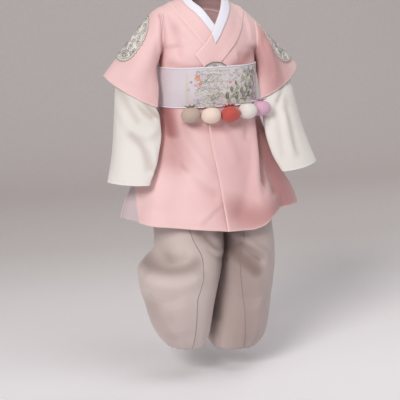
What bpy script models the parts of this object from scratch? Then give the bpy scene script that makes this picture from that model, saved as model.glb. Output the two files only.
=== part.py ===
"""Child's hanbok set: a half-sleeved coat, its white sleeves, a belt with stuffed balls, and trousers.

The set keeps the hollow shape it has when it is worn. Metres, +Z up, front towards -Y.
The origin lies between the shoulders, at the base of the neck opening.
"right" and "left" are the wearer's: right is -X, left is +X.
"""
import bpy
import numpy as np

# ---------------------------------------------------------------- driving dimensions
COAT_WALL = 0.0012            # coat cloth with its turnings
TRIM_WALL = 0.0010            # neck strip, roundels and edge piping
SLEEVE_WALL = 0.0010          # white sleeves
BELT_WALL = 0.0020            # padded belt
TROUSER_WALL = 0.0012         # trousers and their waistband
SEAM = 0.0003                 # gap between pieces that are sewn together
LAP = 0.0038                  # how far the left front stands out over the right front
LAP_FADE = 0.45               # share of the half-width where it starts to come back in
LAP_START_ROW = 0.15          # and the row under the shoulder where it starts to stand out
CHORD = 0.0009                # room for the flat facets of neighbouring curved walls

ARMPIT_Z = -0.128
ARMHOLE_HALF_DEPTH = 0.040
ARMHOLE_FADE = 1.6            # how fast the armhole's depth fades towards the middle of the chest
CHEST_POWER = 2.4             # roundness of the chest above the armpits
CHEST_CLOSES = 0.45           # share of the armhole's height where the body starts to close round
LEAN = -0.005                 # the chest stands this far to the wearer's right of the hem
LEAN_TOP = -0.20              # all of it above here, none of it below
LEAN_FOOT = -0.36
RIDGE_Y = 0.008               # the shoulder line lies this far behind the body's axis
BELOW_ARMPIT = 0.32           # metres of height for each unit of the row number past 1

BELT_TOP = -0.1445
BELT_BOTTOM = -0.2285
BELT_SLOPE = 0.035            # the belt rises towards the wearer's left
BELT_STEP = 0.0030            # the outer end stands out this far over the inner end

VENT_TOP = -0.330             # the side seams are open below here
VENT_SPREAD = 0.009           # how far each panel's corner stands off at the hem
HEM_Z = -0.490
VENT_START = 0.80             # share of the half-width where a corner starts to stand off
HEM_RISE_TOP = -0.360
PIPING_WIDTH = 0.003

WAISTBAND_TOP = -0.165
WAISTBAND_BOTTOM = -0.215
BALL_RADIUS = 0.0208
BALL_HALF_HEIGHT = 0.0165
PETAL_HEIGHT = 0.0028         # the crown of petals on top of each ball
PETALS = 6

SHOULDER_ROUNDEL_RADIUS = 0.056
CHEST_ROUNDEL_RADIUS = 0.033
CHEST_ROUNDEL_X = -0.0044
CHEST_ROUNDEL_Z = -0.1675

# ---------------------------------------------------------------- tables (metres, degrees)
# Shoulder ridge: height at each distance from the body's axis, on either side.
RIDGE = {
    "columns": ("x", "right", "left"),
    "rows": ((0.000, 0.017, 0.017), (0.020, 0.013, 0.011), (0.034, 0.007, 0.002),
             (0.050, -0.002, -0.012), (0.068, -0.010, -0.021), (0.084, -0.017, -0.030),
             (0.105, -0.026, -0.048))}

# Coat body below the armpits: half-width, depth before and behind the axis, squareness.
BODY = {
    "columns": ("z", "half_width", "front", "back", "squareness"),
    "rows": ((-0.128, 0.1040, 0.076, 0.079, 2.40), (-0.187, 0.1045, 0.080, 0.081, 2.40),
             (-0.232, 0.1065, 0.081, 0.082, 2.35), (-0.262, 0.1170, 0.087, 0.088, 2.25),
             (-0.300, 0.1300, 0.095, 0.096, 2.15), (-0.380, 0.1600, 0.112, 0.109, 2.05),
             (-0.440, 0.1790, 0.123, 0.117, 2.00), (-0.490, 0.1920, 0.131, 0.122, 2.00))}

# How far the hem rises at each share of the half-width, on either side of the centre.
HEM_RISE = {
    "columns": ("share", "right", "left"),
    "rows": ((0.00, 0.0010, 0.0010), (0.15, 0.0045, 0.0005), (0.30, 0.0070, 0.0005),
             (0.47, 0.0085, 0.0045), (0.56, 0.0090, 0.0160), (0.63, 0.0100, 0.0215),
             (0.85, 0.0145, 0.0290), (1.00, 0.0180, 0.0360))}

# Neckline and front edge: where each front panel stops, by row number (0 shoulder, 1 armpit).
FRONT_EDGE = {
    "columns": ("row", "right", "left"),
    "rows": ((0.000, -0.082, 0.077), (0.320, -0.078, 0.075), (0.494, -0.071, 0.070),
             (0.668, -0.055, 0.061), (0.862, -0.031, 0.041), (0.953, -0.013, 0.024),
             (1.014, 0.002, 0.009), (1.053, 0.012, -0.002), (1.1125, 0.025, -0.017),
             (1.333, 0.030, -0.023), (1.503, 0.038, -0.022), (1.803, 0.046, -0.010),
             (2.133, 0.052, 0.004))}

# Back neckline, by row number; below the last row the panels meet at the centre-back seam.
BACK_EDGE = {
    "columns": ("row", "right", "left"),
    "rows": ((0.00, 0.082, 0.077), (0.20, 0.077, 0.073), (0.38, 0.061, 0.059),
             (0.50, 0.041, 0.041), (0.5878, 0.000, 0.000))}

# The collar band runs from the left front's lapped end, round the back of the neck, to the
# right front. Rows behind the shoulder line are negative. Its outer edge is the neckline.
COLLAR = {
    "columns": ("along", "outer_row", "inner_x", "inner_row"),
    "rows": ((0.00, 1.1125, -0.046, 0.968), (0.10, 0.953, -0.014, 0.830),
             (0.17, 0.855, -0.001, 0.719), (0.27, 0.650, 0.015, 0.529),
             (0.36, 0.410, 0.024, 0.307), (0.44, 0.000, 0.028, 0.000),
             (0.50, -0.430, 0.011, -0.222), (0.53, -0.5878, -0.007, -0.244),
             (0.57, -0.430, -0.029, -0.191), (0.62, 0.000, -0.045, 0.000),
             (0.70, 0.410, -0.039, 0.319), (0.78, 0.650, -0.022, 0.530),
             (0.86, 0.855, -0.001, 0.719), (0.93, 0.953, 0.019, 0.826),
             (1.00, 1.035, 0.041, 0.894))}
LEFT_SHOULDER = 0.44          # where the band crosses the shoulder lines and the back's centre
CENTRE_BACK = 0.53
RIGHT_SHOULDER = 0.62

# Soft vertical folds of the coat's skirt: angle round the body (0 left side, 90 centre front,
# 180 right side; the back runs the same way), half-width in degrees and depth at the hem.
FRONT_FOLDS = {
    "columns": ("angle", "spread", "depth"),
    "rows": ((13, 8, 0.006), (38, 10, -0.021), (61, 7, 0.010), (78, 7, -0.003),
             (104, 9, 0.004), (122, 8, -0.005), (140, 9, 0.007), (160, 8, -0.006))}
BACK_FOLDS = {
    "columns": ("angle", "spread", "depth"),
    "rows": ((20, 9, -0.006), (40, 9, 0.006), (62, 9, -0.007), (84, 7, 0.004),
             (112, 10, -0.007), (138, 9, 0.006), (160, 9, -0.005))}

# Half-sleeves: the fold line on top, the line below and half the thickness between them.
SLEEVE_COLUMNS = ("along", "top_x", "top_y", "top_z", "low_x", "low_y", "low_z",
                  "front", "back", "turn")
HALF_SLEEVE = {
    "right": {"columns": SLEEVE_COLUMNS, "rows": (
        (0.00, 0.1048, 0.008, -0.026, 0.1064, 0.000, -0.128, 0.0400, 0.0400, 0),
        (0.10, 0.1150, 0.011, -0.033, 0.1122, -0.005, -0.138, 0.0400, 0.0385, 2),
        (0.24, 0.1270, 0.015, -0.049, 0.1170, -0.018, -0.153, 0.0385, 0.0310, 8),
        (0.60, 0.1690, 0.026, -0.103, 0.1190, -0.044, -0.194, 0.0335, 0.0190, 34),
        (1.00, 0.2170, 0.040, -0.168, 0.1235, -0.052, -0.229, 0.0272, 0.0160, 38))},
    "left": {"columns": SLEEVE_COLUMNS, "rows": (
        (0.00, 0.1048, 0.008, -0.048, 0.1064, 0.000, -0.128, 0.0400, 0.0400, 0),
        (0.10, 0.1190, 0.010, -0.061, 0.1105, -0.007, -0.138, 0.0390, 0.0380, 2),
        (0.24, 0.1340, 0.014, -0.080, 0.1120, -0.020, -0.154, 0.0375, 0.0310, 12),
        (0.60, 0.1710, 0.023, -0.112, 0.1110, -0.036, -0.190, 0.0310, 0.0170, 30),
        (1.00, 0.2190, 0.033, -0.152, 0.1115, -0.046, -0.218, 0.0250, 0.0160, 32))}}

# White sleeves: inside the half-sleeve they keep these gaps to it, then they follow a table.
INSIDE_GAPS = {
    "columns": ("along", "top", "low", "face"),
    "rows": ((0.00, 0.0017, 0.0017, 0.0017), (0.05, 0.0026, 0.0024, 0.0026),
             (0.10, 0.0036, 0.0028, 0.0034), (0.17, 0.0060, 0.0034, 0.0044),
             (0.24, 0.0082, 0.0038, 0.0050), (0.42, 0.0145, 0.0042, 0.0050),
             (0.60, 0.0210, 0.0045, 0.0050), (0.80, 0.0275, 0.0045, 0.0050),
             (1.00, 0.0340, 0.0045, 0.0050))}
INSIDE_END = 0.46             # share of the white sleeve's stations that lie inside
OUTSIDE_ROWS = {
    "right": (
        (0.56, 0.2010, 0.010, -0.232, 0.1200, -0.052, -0.252, 0.0260, 0.0230, 38),
        (0.66, 0.2080, 0.001, -0.282, 0.1210, -0.060, -0.283, 0.0300, 0.0270, 38),
        (0.82, 0.2180, -0.014, -0.333, 0.1370, -0.078, -0.336, 0.0270, 0.0250, 38),
        (1.00, 0.2320, -0.030, -0.387, 0.1570, -0.090, -0.389, 0.0220, 0.0200, 38)),
    "left": (
        (0.56, 0.2030, 0.004, -0.224, 0.1125, -0.057, -0.250, 0.0260, 0.0238, 34),
        (0.66, 0.2110, -0.012, -0.272, 0.1095, -0.075, -0.285, 0.0270, 0.0250, 30),
        (0.82, 0.2190, -0.036, -0.318, 0.1190, -0.084, -0.332, 0.0260, 0.0250, 24),
        (1.00, 0.2290, -0.060, -0.357, 0.1400, -0.092, -0.373, 0.0210, 0.0200, 20))}

# Trouser legs: outer and inner side, front and back of the cloth at each height.
LEG_COLUMNS = ("z", "outer", "inner", "front", "back")
CROTCH_Z = -0.520
FORK_TOP = -0.400             # the leg's section starts to close on itself here
LEG = {
    "right": {"columns": LEG_COLUMNS, "rows": (
        (-0.2153, 0.1030, 0.0003, -0.0782, 0.0792), (-0.245, 0.1025, 0.0003, -0.0778, 0.0786),
        (-0.330, 0.1110, 0.0003, -0.0850, 0.0860), (-0.420, 0.1180, -0.0080, -0.0940, 0.0940),
        (-0.490, 0.1210, -0.0250, -0.1000, 0.0960), (-0.520, 0.1210, -0.0265, -0.1050, 0.0920),
        (-0.548, 0.1220, -0.0235, -0.1120, 0.0850), (-0.572, 0.1470, -0.0160, -0.1220, 0.0800),
        (-0.592, 0.1630, -0.0110, -0.1280, 0.0760), (-0.625, 0.1615, -0.0040, -0.1260, 0.0720),
        (-0.665, 0.1500, 0.0030, -0.1180, 0.0680), (-0.705, 0.1370, 0.0080, -0.1060, 0.0620),
        (-0.735, 0.1210, 0.0130, -0.0900, 0.0520), (-0.749, 0.1090, 0.0180, -0.0790, 0.0420),
        (-0.757, 0.1010, 0.0240, -0.0710, 0.0340))},
    "left": {"columns": LEG_COLUMNS, "rows": (
        (-0.2153, 0.1030, 0.0003, -0.0782, 0.0792), (-0.245, 0.1025, 0.0003, -0.0778, 0.0786),
        (-0.330, 0.1130, 0.0003, -0.0850, 0.0860), (-0.420, 0.1250, 0.0096, -0.0940, 0.0940),
        (-0.490, 0.1360, 0.0282, -0.0980, 0.0980), (-0.520, 0.1395, 0.0297, -0.0960, 0.0980),
        (-0.548, 0.1435, 0.0270, -0.0930, 0.0970), (-0.572, 0.1460, 0.0210, -0.0910, 0.0960),
        (-0.592, 0.1465, 0.0170, -0.0890, 0.0940), (-0.625, 0.1450, 0.0110, -0.0870, 0.0920),
        (-0.665, 0.1410, 0.0060, -0.0840, 0.0880), (-0.705, 0.1370, 0.0040, -0.0800, 0.0820),
        (-0.736, 0.1320, 0.0035, -0.0750, 0.0730), (-0.761, 0.1220, 0.0060, -0.0670, 0.0600),
        (-0.774, 0.1110, 0.0110, -0.0590, 0.0490))}}

# Stuffed balls along the belt's bottom edge.
BALLS = {
    "columns": ("x", "drop", "stand_off", "colour"),
    "rows": ((-0.056, 0.0125, 0.0006, "taupe"), (-0.021, 0.0140, 0.0019, "cream"),
             (0.0175, 0.0150, 0.0007, "coral"), (0.0525, 0.0110, 0.0009, "white"),
             (0.0840, 0.0105, 0.0013, "lilac"))}

COLOURS = {
    "coat_pink": (0.78, 0.50, 0.47), "strip_white": (0.85, 0.84, 0.88),
    "piping_pale": (0.86, 0.70, 0.66), "embroidery_silver": (0.62, 0.60, 0.57),
    "belt_silver": (0.68, 0.65, 0.68), "sleeve_white": (0.88, 0.86, 0.82),
    "trouser_taupe": (0.58, 0.50, 0.45), "taupe": (0.52, 0.45, 0.38),
    "cream": (0.88, 0.76, 0.67), "coral": (0.66, 0.12, 0.08),
    "white": (0.82, 0.80, 0.76), "lilac": (0.66, 0.42, 0.51)}


# ---------------------------------------------------------------- reading tables
def column(table, name):
    place = table["columns"].index(name)
    return np.array([row[place] for row in table["rows"]], dtype=float)


def read(table, name, at):
    """A smooth curve through one column of a table that never overshoots its rows."""
    xs = column(table, table["columns"][0])
    ys = column(table, name)
    if xs[0] > xs[-1]:
        xs = xs[::-1]
        ys = ys[::-1]
    widths = np.diff(xs)
    slopes = np.diff(ys) / widths
    tangents = np.zeros(len(xs))
    same_way = slopes[:-1] * slopes[1:] > 0
    weight_a = 2 * widths[1:] + widths[:-1]
    weight_b = widths[1:] + 2 * widths[:-1]
    safe_a = np.where(same_way, slopes[:-1], 1.0)
    safe_b = np.where(same_way, slopes[1:], 1.0)
    mean = (weight_a + weight_b) / (weight_a / safe_a + weight_b / safe_b)
    tangents[1:-1] = np.where(same_way, mean, 0.0)
    tangents[0] = slopes[0]
    tangents[-1] = slopes[-1]
    at = np.clip(np.asarray(at, dtype=float), xs[0], xs[-1])
    piece = np.clip(np.searchsorted(xs, at, side="right") - 1, 0, len(widths) - 1)
    width = widths[piece]
    part = (at - xs[piece]) / width
    stay = 1 - part
    return (ys[piece] * stay ** 2 * (1 + 2 * part) + ys[piece + 1] * part ** 2 * (3 - 2 * part)
            + width * tangents[piece] * part * stay ** 2
            - width * tangents[piece + 1] * part ** 2 * stay)


def ease(value):
    """0 below 0, 1 above 1, and a smooth step between."""
    value = np.clip(value, 0.0, 1.0)
    return value * value * (3 - 2 * value)


# ---------------------------------------------------------------- the coat's surface
def ridge_height(x):
    return np.where(x < 0, read(RIDGE, "right", np.abs(x)), read(RIDGE, "left", np.abs(x)))


def row_height(x, row):
    """Height of a row of the coat: 0 is the shoulder ridge, 1 the armpit, 2 near the hem."""
    top = ridge_height(x)
    upper = top - np.minimum(row, 1.0) ** 2 * (top - ARMPIT_Z)
    return np.where(row <= 1.0, upper, ARMPIT_Z - (row - 1.0) * BELOW_ARMPIT)


def row_at(z):
    return 1.0 + (ARMPIT_Z - z) / BELOW_ARMPIT


def fold_depth(folds, angle, z):
    """How far the skirt stands out or in at an angle, growing from the belt to the hem."""
    under_belt = ease((BELT_BOTTOM - 0.008 - z) / 0.14)
    grow = under_belt * (0.45 + 0.55 * ease((VENT_TOP - z) / (VENT_TOP - HEM_Z)))
    total = np.zeros(np.broadcast(angle, z).shape)
    for centre, spread, depth in folds["rows"]:
        total = total + depth * np.exp(-((angle - centre) / spread) ** 2)
    return total * grow


def coat_point(x, row, face):
    """A point of the coat's inner side. face is -1 in front and +1 behind."""
    x, row = np.broadcast_arrays(np.asarray(x, dtype=float), np.asarray(row, dtype=float))
    z = row_height(x, row)
    level = np.minimum(z, ARMPIT_Z)
    half_width = read(BODY, "half_width", level)
    squareness = read(BODY, "squareness", level)
    reach = read(BODY, "front" if face < 0 else "back", level)
    share = np.clip(np.abs(x) / half_width, 0.0, 1.0)
    closed = (1 - share ** squareness) ** (1 / squareness)
    down = np.clip(row, 0.0, 1.0) ** 2
    open_profile = 1 - share ** CHEST_POWER
    close_up = ease((down - CHEST_CLOSES) / (1 - CHEST_CLOSES))
    profile = close_up * closed + (1 - close_up) * open_profile
    depth = reach * np.sqrt(np.clip(1 - (1 - down) ** 2, 0, 1))
    armhole = ARMHOLE_HALF_DEPTH * np.sqrt(np.clip(1 - (2 * down - 1) ** 2, 0, 1))
    out = depth * profile + armhole * (1 - profile) ** ARMHOLE_FADE
    angle = np.degrees(np.arccos(np.clip(np.sign(x) * share ** (squareness / 2), -1, 1)))
    fold = fold_depth(FRONT_FOLDS if face < 0 else BACK_FOLDS, angle, z)
    swell = 1 + fold / np.hypot(x, reach * closed)
    y = RIDGE_Y * (1 - down) + face * out * swell
    corner = ease((share - VENT_START) / (1 - VENT_START))
    spread = VENT_SPREAD * ease((VENT_TOP - z) / (VENT_TOP - HEM_Z)) * corner
    side = x * swell + np.sign(x) * spread * (0.6 if face < 0 else -1.0)
    rise = np.where(x > 0, read(HEM_RISE, "left", share), read(HEM_RISE, "right", share))
    rise = rise * ease((HEM_RISE_TOP - z) / (HEM_RISE_TOP - HEM_Z))
    return np.stack([side, y, z + rise], axis=-1)


def section_at(row):
    """Half-width and squareness of the body at a row."""
    level = np.minimum(row_height(0.0, row), ARMPIT_Z)
    return read(BODY, "half_width", level), read(BODY, "squareness", level)


def x_at_angle(angle, row):
    """x at an angle round the body, in radians from the wearer's left side."""
    half_width, squareness = section_at(row)
    cosine = np.cos(angle)
    return np.sign(cosine) * np.abs(cosine) ** (2 / squareness) * half_width


def angle_at_x(x, row):
    half_width, squareness = section_at(row)
    share = np.clip(x / half_width, -1, 1)
    return np.arccos(np.sign(share) * np.abs(share) ** (squareness / 2))


def signed_point(angle, row):
    """A point by angle and signed row: negative rows lie behind the shoulder line."""
    x = x_at_angle(angle, np.abs(row))
    ahead = coat_point(x, np.abs(row), -1)
    behind = coat_point(x, np.abs(row), 1)
    return np.where((row >= 0)[..., None], ahead, behind)


def coat_frame(x, row):
    """Points of the coat's inner side and their outward normals."""
    x, row = np.broadcast_arrays(np.asarray(x, dtype=float), np.asarray(row, dtype=float))
    angle = angle_at_x(x, np.abs(row))
    small_angle = 0.012
    small_row = 0.004
    point = signed_point(angle, row)
    first = signed_point(np.clip(angle + small_angle, 0, np.pi), row)
    second = signed_point(np.clip(angle - small_angle, 0, np.pi), row)
    below = signed_point(angle, row + small_row)
    above = signed_point(angle, row - small_row)
    normal = np.cross(first - second, below - above)
    normal /= np.maximum(np.linalg.norm(normal, axis=-1, keepdims=True), 1e-12)
    axis_height = np.minimum(point[..., 2], ARMPIT_Z + 0.02)
    axis = np.stack([0 * axis_height, 0 * axis_height + RIDGE_Y, axis_height], axis=-1)
    facing = np.sign(np.sum(normal * (point - axis), axis=-1, keepdims=True))
    return point, normal * facing


def lap_lift(x, row):
    """How far the left front stands out over the right front."""
    half_width, _ = section_at(np.abs(row))
    across = 1 - ease((x / half_width - LAP_FADE) / LAP_FADE)
    return LAP * across * ease((row - LAP_START_ROW) / 0.45)


# ---------------------------------------------------------------- making meshes
def clear_scene():
    for thing in list(bpy.data.objects):
        bpy.data.objects.remove(thing, do_unlink=True)


def material(name, roughness=0.75):
    found = bpy.data.materials.get(name)
    if found:
        return found
    made = bpy.data.materials.new(name)
    made.use_nodes = True
    shader = made.node_tree.nodes["Principled BSDF"]
    shader.inputs["Base Color"].default_value = (*COLOURS[name], 1.0)
    shader.inputs["Roughness"].default_value = roughness
    shader.inputs["Metallic"].default_value = 0.0
    return made


def lean(points):
    """The upper part of the set stands a little to the wearer's right."""
    shift = LEAN * ease((points[..., 2] - LEAN_FOOT) / (LEAN_TOP - LEAN_FOOT))
    return points + np.stack([shift, 0 * shift, 0 * shift], axis=-1)


def place(name, mesh, colour):
    thing = bpy.data.objects.new(name, mesh)
    mesh.materials.append(material(colour))
    mesh.shade_smooth()
    bpy.data.collections["hanbok"].objects.link(thing)
    return thing


def sheet(name, points, outward, wall, colour, closed=False):
    """An open surface on a grid of points, thickened away from the body by Solidify."""
    rows, columns = points.shape[:2]
    spans = columns if closed else columns - 1
    faces = []
    for row in range(rows - 1):
        for span in range(spans):
            after = (span + 1) % columns
            faces.append((row * columns + span, row * columns + after,
                          (row + 1) * columns + after, (row + 1) * columns + span))
    flat = lean(points).reshape(-1, 3)
    away = outward.reshape(-1, 3)
    corners = np.array(faces)
    facing = np.cross(flat[corners[:, 2]] - flat[corners[:, 0]], flat[corners[:, 3]] - flat[corners[:, 1]])
    if np.sum(facing * away[corners[:, 0]]) < 0:
        faces = [face[::-1] for face in faces]
    mesh = bpy.data.meshes.new(name)
    mesh.from_pydata(flat.tolist(), [], faces)
    thing = place(name, mesh, colour)
    shell = thing.modifiers.new("wall", "SOLIDIFY")
    shell.thickness = wall
    shell.offset = 1.0
    return thing


# ---------------------------------------------------------------- the coat
RING_STEPS = 10               # spans over half an armhole, shared by panels, collar and sleeves
UPPER_ROWS = np.sin(np.radians(np.linspace(0, 180, RING_STEPS + 1)) / 2)
SKIRT_HEIGHTS = (-0.187, -0.232, -0.260, -0.295, -0.330, -0.370, -0.415, -0.455, -0.490)
SEAM_ROW = 0.0014             # keeps front and back one seam apart on the shoulder
SEAM_ANGLE = 0.0016           # and at the side seams, in radians
FRONT_COLUMNS = 12
BACK_COLUMNS = 9


def panel_rows():
    rows = np.concatenate([UPPER_ROWS, [1.1125], row_at(np.array(SKIRT_HEIGHTS))])
    rows[0] = SEAM_ROW
    return rows


def front_panel(side_name):
    side = 1 if side_name == "left" else -1
    rows = panel_rows()
    grid_x = []
    for row in rows:
        edge = read(FRONT_EDGE, side_name, row)
        edge_angle = angle_at_x(side * edge, row)
        angles = np.linspace(SEAM_ANGLE, edge_angle, FRONT_COLUMNS)
        grid_x.append(side * x_at_angle(angles, row))
    grid_x = np.array(grid_x)
    grid_row = np.repeat(rows[:, None], FRONT_COLUMNS, axis=1)
    points, normals = coat_frame(grid_x, grid_row)
    if side > 0:
        points = points + normals * lap_lift(grid_x, grid_row)[..., None]
    return sheet("coat_front_" + side_name, points, normals, COAT_WALL, "coat_pink")


def back_panel(side_name):
    side = 1 if side_name == "left" else -1
    rows = panel_rows()
    grid_x = []
    for row in rows:
        edge = max(float(read(BACK_EDGE, side_name, row)), SEAM / 2)
        angles = np.linspace(SEAM_ANGLE, angle_at_x(edge, row), BACK_COLUMNS)
        grid_x.append(side * x_at_angle(angles, row))
    grid_x = np.array(grid_x)
    grid_row = np.repeat(-rows[:, None], BACK_COLUMNS, axis=1)
    points, normals = coat_frame(grid_x, grid_row)
    return sheet("coat_back_" + side_name, points, normals, COAT_WALL, "coat_pink")


def collar_stations():
    """Places along the band where its outer edge crosses the rows of the panels."""
    fine = np.linspace(0, 1, 2001)
    outer = read(COLLAR, "outer_row", fine)
    stops = []
    pieces = ((0.0, LEFT_SHOULDER), (LEFT_SHOULDER, CENTRE_BACK),
              (CENTRE_BACK, RIGHT_SHOULDER), (RIGHT_SHOULDER, 1.0))
    wanted = np.concatenate([UPPER_ROWS, [1.1125]])
    for start, end in pieces:
        inside = (fine >= start) & (fine <= end)
        places = fine[inside]
        levels = np.abs(outer[inside])
        order = np.argsort(levels)
        reach = (wanted >= levels.min() - 1e-6) & (wanted <= levels.max() + 1e-6)
        stops.extend(np.interp(wanted[reach], levels[order], places[order]))
    stops.append(1.0)
    stops = np.unique(np.round(stops, 4))
    return stops[np.concatenate([[True], np.diff(stops) > 0.004])]


def collar_outer_x(along, row):
    front_left = read(FRONT_EDGE, "left", row)
    front_right = read(FRONT_EDGE, "right", row)
    back_left = read(BACK_EDGE, "left", -row)
    back_right = -read(BACK_EDGE, "right", -row)
    left = np.where(along < LEFT_SHOULDER, front_left, back_left)
    right = np.where(along > RIGHT_SHOULDER, front_right, back_right)
    return np.where(along < CENTRE_BACK, left, right)


def collar_frame(along, share):
    """Points on the band: share 0 is its outer edge and 1 its inner edge at the neck."""
    outer_row = read(COLLAR, "outer_row", along)
    outer_x = collar_outer_x(along, outer_row)
    x = outer_x + (read(COLLAR, "inner_x", along) - outer_x) * share
    row = outer_row + (read(COLLAR, "inner_row", along) - outer_row) * share
    points, normals = coat_frame(x, row)
    lift = np.where(along < LEFT_SHOULDER, lap_lift(x, row), 0.0)
    return points + normals * lift[..., None], normals


COLLAR_SHARES = np.array((0.007, 0.22, 0.43, 0.64, 0.82, 1.00))
STRIP_SHARES = np.array((0.64, 0.82, 0.994))
STRIP_START = 0.100           # where the white strip stops on the left front
STRIP_SLANT = 0.030           # its end is cut aslant by this much
STRIP_END = 0.930


def collar_band():
    along, share = np.meshgrid(collar_stations(), COLLAR_SHARES, indexing="ij")
    points, normals = collar_frame(along, share)
    return sheet("collar_band", points, normals, COAT_WALL, "coat_pink")


def neck_strip():
    """The narrow white strip on the inner part of the collar band."""
    stations = collar_stations()
    stations = stations[(stations > STRIP_START + 0.004) & (stations < STRIP_END - 0.004)]
    stations = np.concatenate([[STRIP_START], stations, [STRIP_END]])
    along, share = np.meshgrid(stations, STRIP_SHARES, indexing="ij")
    outer_part = (STRIP_SHARES[-1] - share) / (STRIP_SHARES[-1] - STRIP_SHARES[0])
    fade = 1 - ease((along - STRIP_START) / 0.06)
    along = along - STRIP_SLANT * outer_part * fade
    points, normals = collar_frame(along, share)
    points = points + normals * (COAT_WALL + 2 * SEAM)
    return sheet("dongjeong", points, normals, TRIM_WALL, "strip_white")


def edge_piping():
    """A narrow pale binding on the left front's free edge, from under the belt to the hem."""
    rows = panel_rows()
    rows = rows[rows > 1.23]
    edge = read(FRONT_EDGE, "left", rows)
    grid_x = edge[:, None] + np.array((0.0002, PIPING_WIDTH))[None, :]
    grid_row = np.repeat(rows[:, None], 2, axis=1)
    points, normals = coat_frame(grid_x, grid_row)
    points = points + normals * (lap_lift(grid_x, grid_row) + COAT_WALL + SEAM)[..., None]
    return sheet("front_edge_piping", points, normals, TRIM_WALL, "piping_pale")


# ---------------------------------------------------------------- sleeves
def sleeve_frame(table, side, along, turn):
    """Points of a sleeve: turn 0 is its fold on top, 90 degrees its front, 180 its low line."""
    def part(name):
        return read(table, name, along)
    top = np.stack([side * part("top_x"), part("top_y"), part("top_z")], axis=-1)
    low = np.stack([side * part("low_x"), part("low_y"), part("low_z")], axis=-1)
    facing = np.radians(part("turn"))
    front = np.stack([side * np.sin(facing), -np.cos(facing), np.zeros_like(facing)], axis=-1)
    across = np.cos(turn)[..., None]
    out = np.sin(turn)[..., None]
    thickness = np.where(out >= 0, part("front")[..., None], part("back")[..., None])
    return (top + low) / 2 + (top - low) / 2 * across + front * thickness * out


def tube_outward(points):
    return points - points.mean(axis=1, keepdims=True)


def sleeve_grid(stations):
    turns = np.radians(np.arange(2 * RING_STEPS) * 180 / RING_STEPS)
    return np.meshgrid(np.array(stations), turns, indexing="ij")


def half_sleeve(side_name):
    side = 1 if side_name == "left" else -1
    points = sleeve_frame(HALF_SLEEVE[side_name], side, *sleeve_grid(HALF_SLEEVE_STATIONS))
    return sheet("coat_sleeve_" + side_name, points, tube_outward(points), COAT_WALL,
                 "coat_pink", closed=True)


def long_sleeve_table(side_name):
    """Rows inside the half-sleeve are worked out from it; the rest are the sleeve's own."""
    outer = HALF_SLEEVE[side_name]
    rows = []
    for along in column(INSIDE_GAPS, "along"):
        top = np.array([read(outer, "top_" + axis, along) for axis in "xyz"])
        low = np.array([read(outer, "low_" + axis, along) for axis in "xyz"])
        inward = (low - top) / np.linalg.norm(low - top)
        top = top + inward * read(INSIDE_GAPS, "top", along)
        low = low - inward * read(INSIDE_GAPS, "low", along)
        face_gap = read(INSIDE_GAPS, "face", along)
        rows.append((along * INSIDE_END, *top, *low, read(outer, "front", along) - face_gap,
                     read(outer, "back", along) - face_gap, read(outer, "turn", along)))
    return {"columns": SLEEVE_COLUMNS, "rows": tuple(rows) + OUTSIDE_ROWS[side_name]}


def long_sleeve_points(side_name, station, turn):
    """Near the armhole the white sleeve runs parallel to the half-sleeve, just inside it."""
    side = 1 if side_name == "left" else -1
    own = sleeve_frame(long_sleeve_table(side_name), side, station, turn)
    inside = np.clip(station / INSIDE_END, 0.005, 0.99)
    outer, normals = sleeve_outer(HALF_SLEEVE[side_name], side, inside, turn)
    nested = outer - normals * (SLEEVE_WALL + NEST_GAP)
    share = ease((inside - 0.40) / 0.50)[..., None]
    return nested + (own - nested) * share


def long_sleeve(side_name):
    """Front and back halves, which meet on the pressed top fold and on the seam underneath."""
    for half, start, end in (("front", 0.0, 180.0), ("back", 180.0, 360.0)):
        turns = np.radians(np.linspace(start, end, RING_STEPS + 1))
        turns[0] += SLEEVE_SPLIT
        turns[-1] -= SLEEVE_SPLIT
        station, turn = np.meshgrid(np.array(LONG_SLEEVE_STATIONS), turns, indexing="ij")
        points = long_sleeve_points(side_name, station, turn)
        axis = long_sleeve_points(side_name, station, 0 * turn)
        axis = (axis + long_sleeve_points(side_name, station, 0 * turn + np.pi)) / 2
        sheet("white_sleeve_" + side_name + "_" + half, points, points - axis, SLEEVE_WALL,
              "sleeve_white")


HALF_SLEEVE_STATIONS = (0.0, 0.06, 0.12, 0.18, 0.24, 0.32, 0.46, 0.62, 0.80, 1.0)
NESTED_STATIONS = (0.02,) + HALF_SLEEVE_STATIONS[1:8]
LONG_SLEEVE_STATIONS = tuple(INSIDE_END * share for share in NESTED_STATIONS)
LONG_SLEEVE_STATIONS += (INSIDE_END, 0.56, 0.66, 0.76, 0.88, 1.0)
NEST_GAP = 0.0010
SLEEVE_SPLIT = 0.010          # radians that each half stops short of the fold and the seam


# ---------------------------------------------------------------- roundels
def disc(name, surface, radius, wall, colour, rings=3, spokes=24):
    """A round piece laid on a surface: surface(across, down) gives points and normals."""
    angles = np.arange(spokes) * 2 * np.pi / spokes
    across = [np.zeros(1)]
    down = [np.zeros(1)]
    for ring in range(1, rings + 1):
        across.append(radius * ring / rings * np.cos(angles))
        down.append(radius * ring / rings * np.sin(angles))
    points, normals = surface(np.concatenate(across), np.concatenate(down))
    faces = []
    for spoke in range(spokes):
        after = (spoke + 1) % spokes
        faces.append((0, 1 + spoke, 1 + after))
        for ring in range(rings - 1):
            base = 1 + ring * spokes
            faces.append((base + spoke, base + spokes + spoke, base + spokes + after, base + after))
    first = np.cross(points[faces[0][1]] - points[0], points[faces[0][2]] - points[0])
    if np.dot(first, normals[0]) < 0:
        faces = [face[::-1] for face in faces]
    mesh = bpy.data.meshes.new(name)
    mesh.from_pydata(lean(points).tolist(), [], faces)
    thing = place(name, mesh, colour)
    shell = thing.modifiers.new("wall", "SOLIDIFY")
    shell.thickness = wall
    shell.offset = 1.0
    return thing


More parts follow.
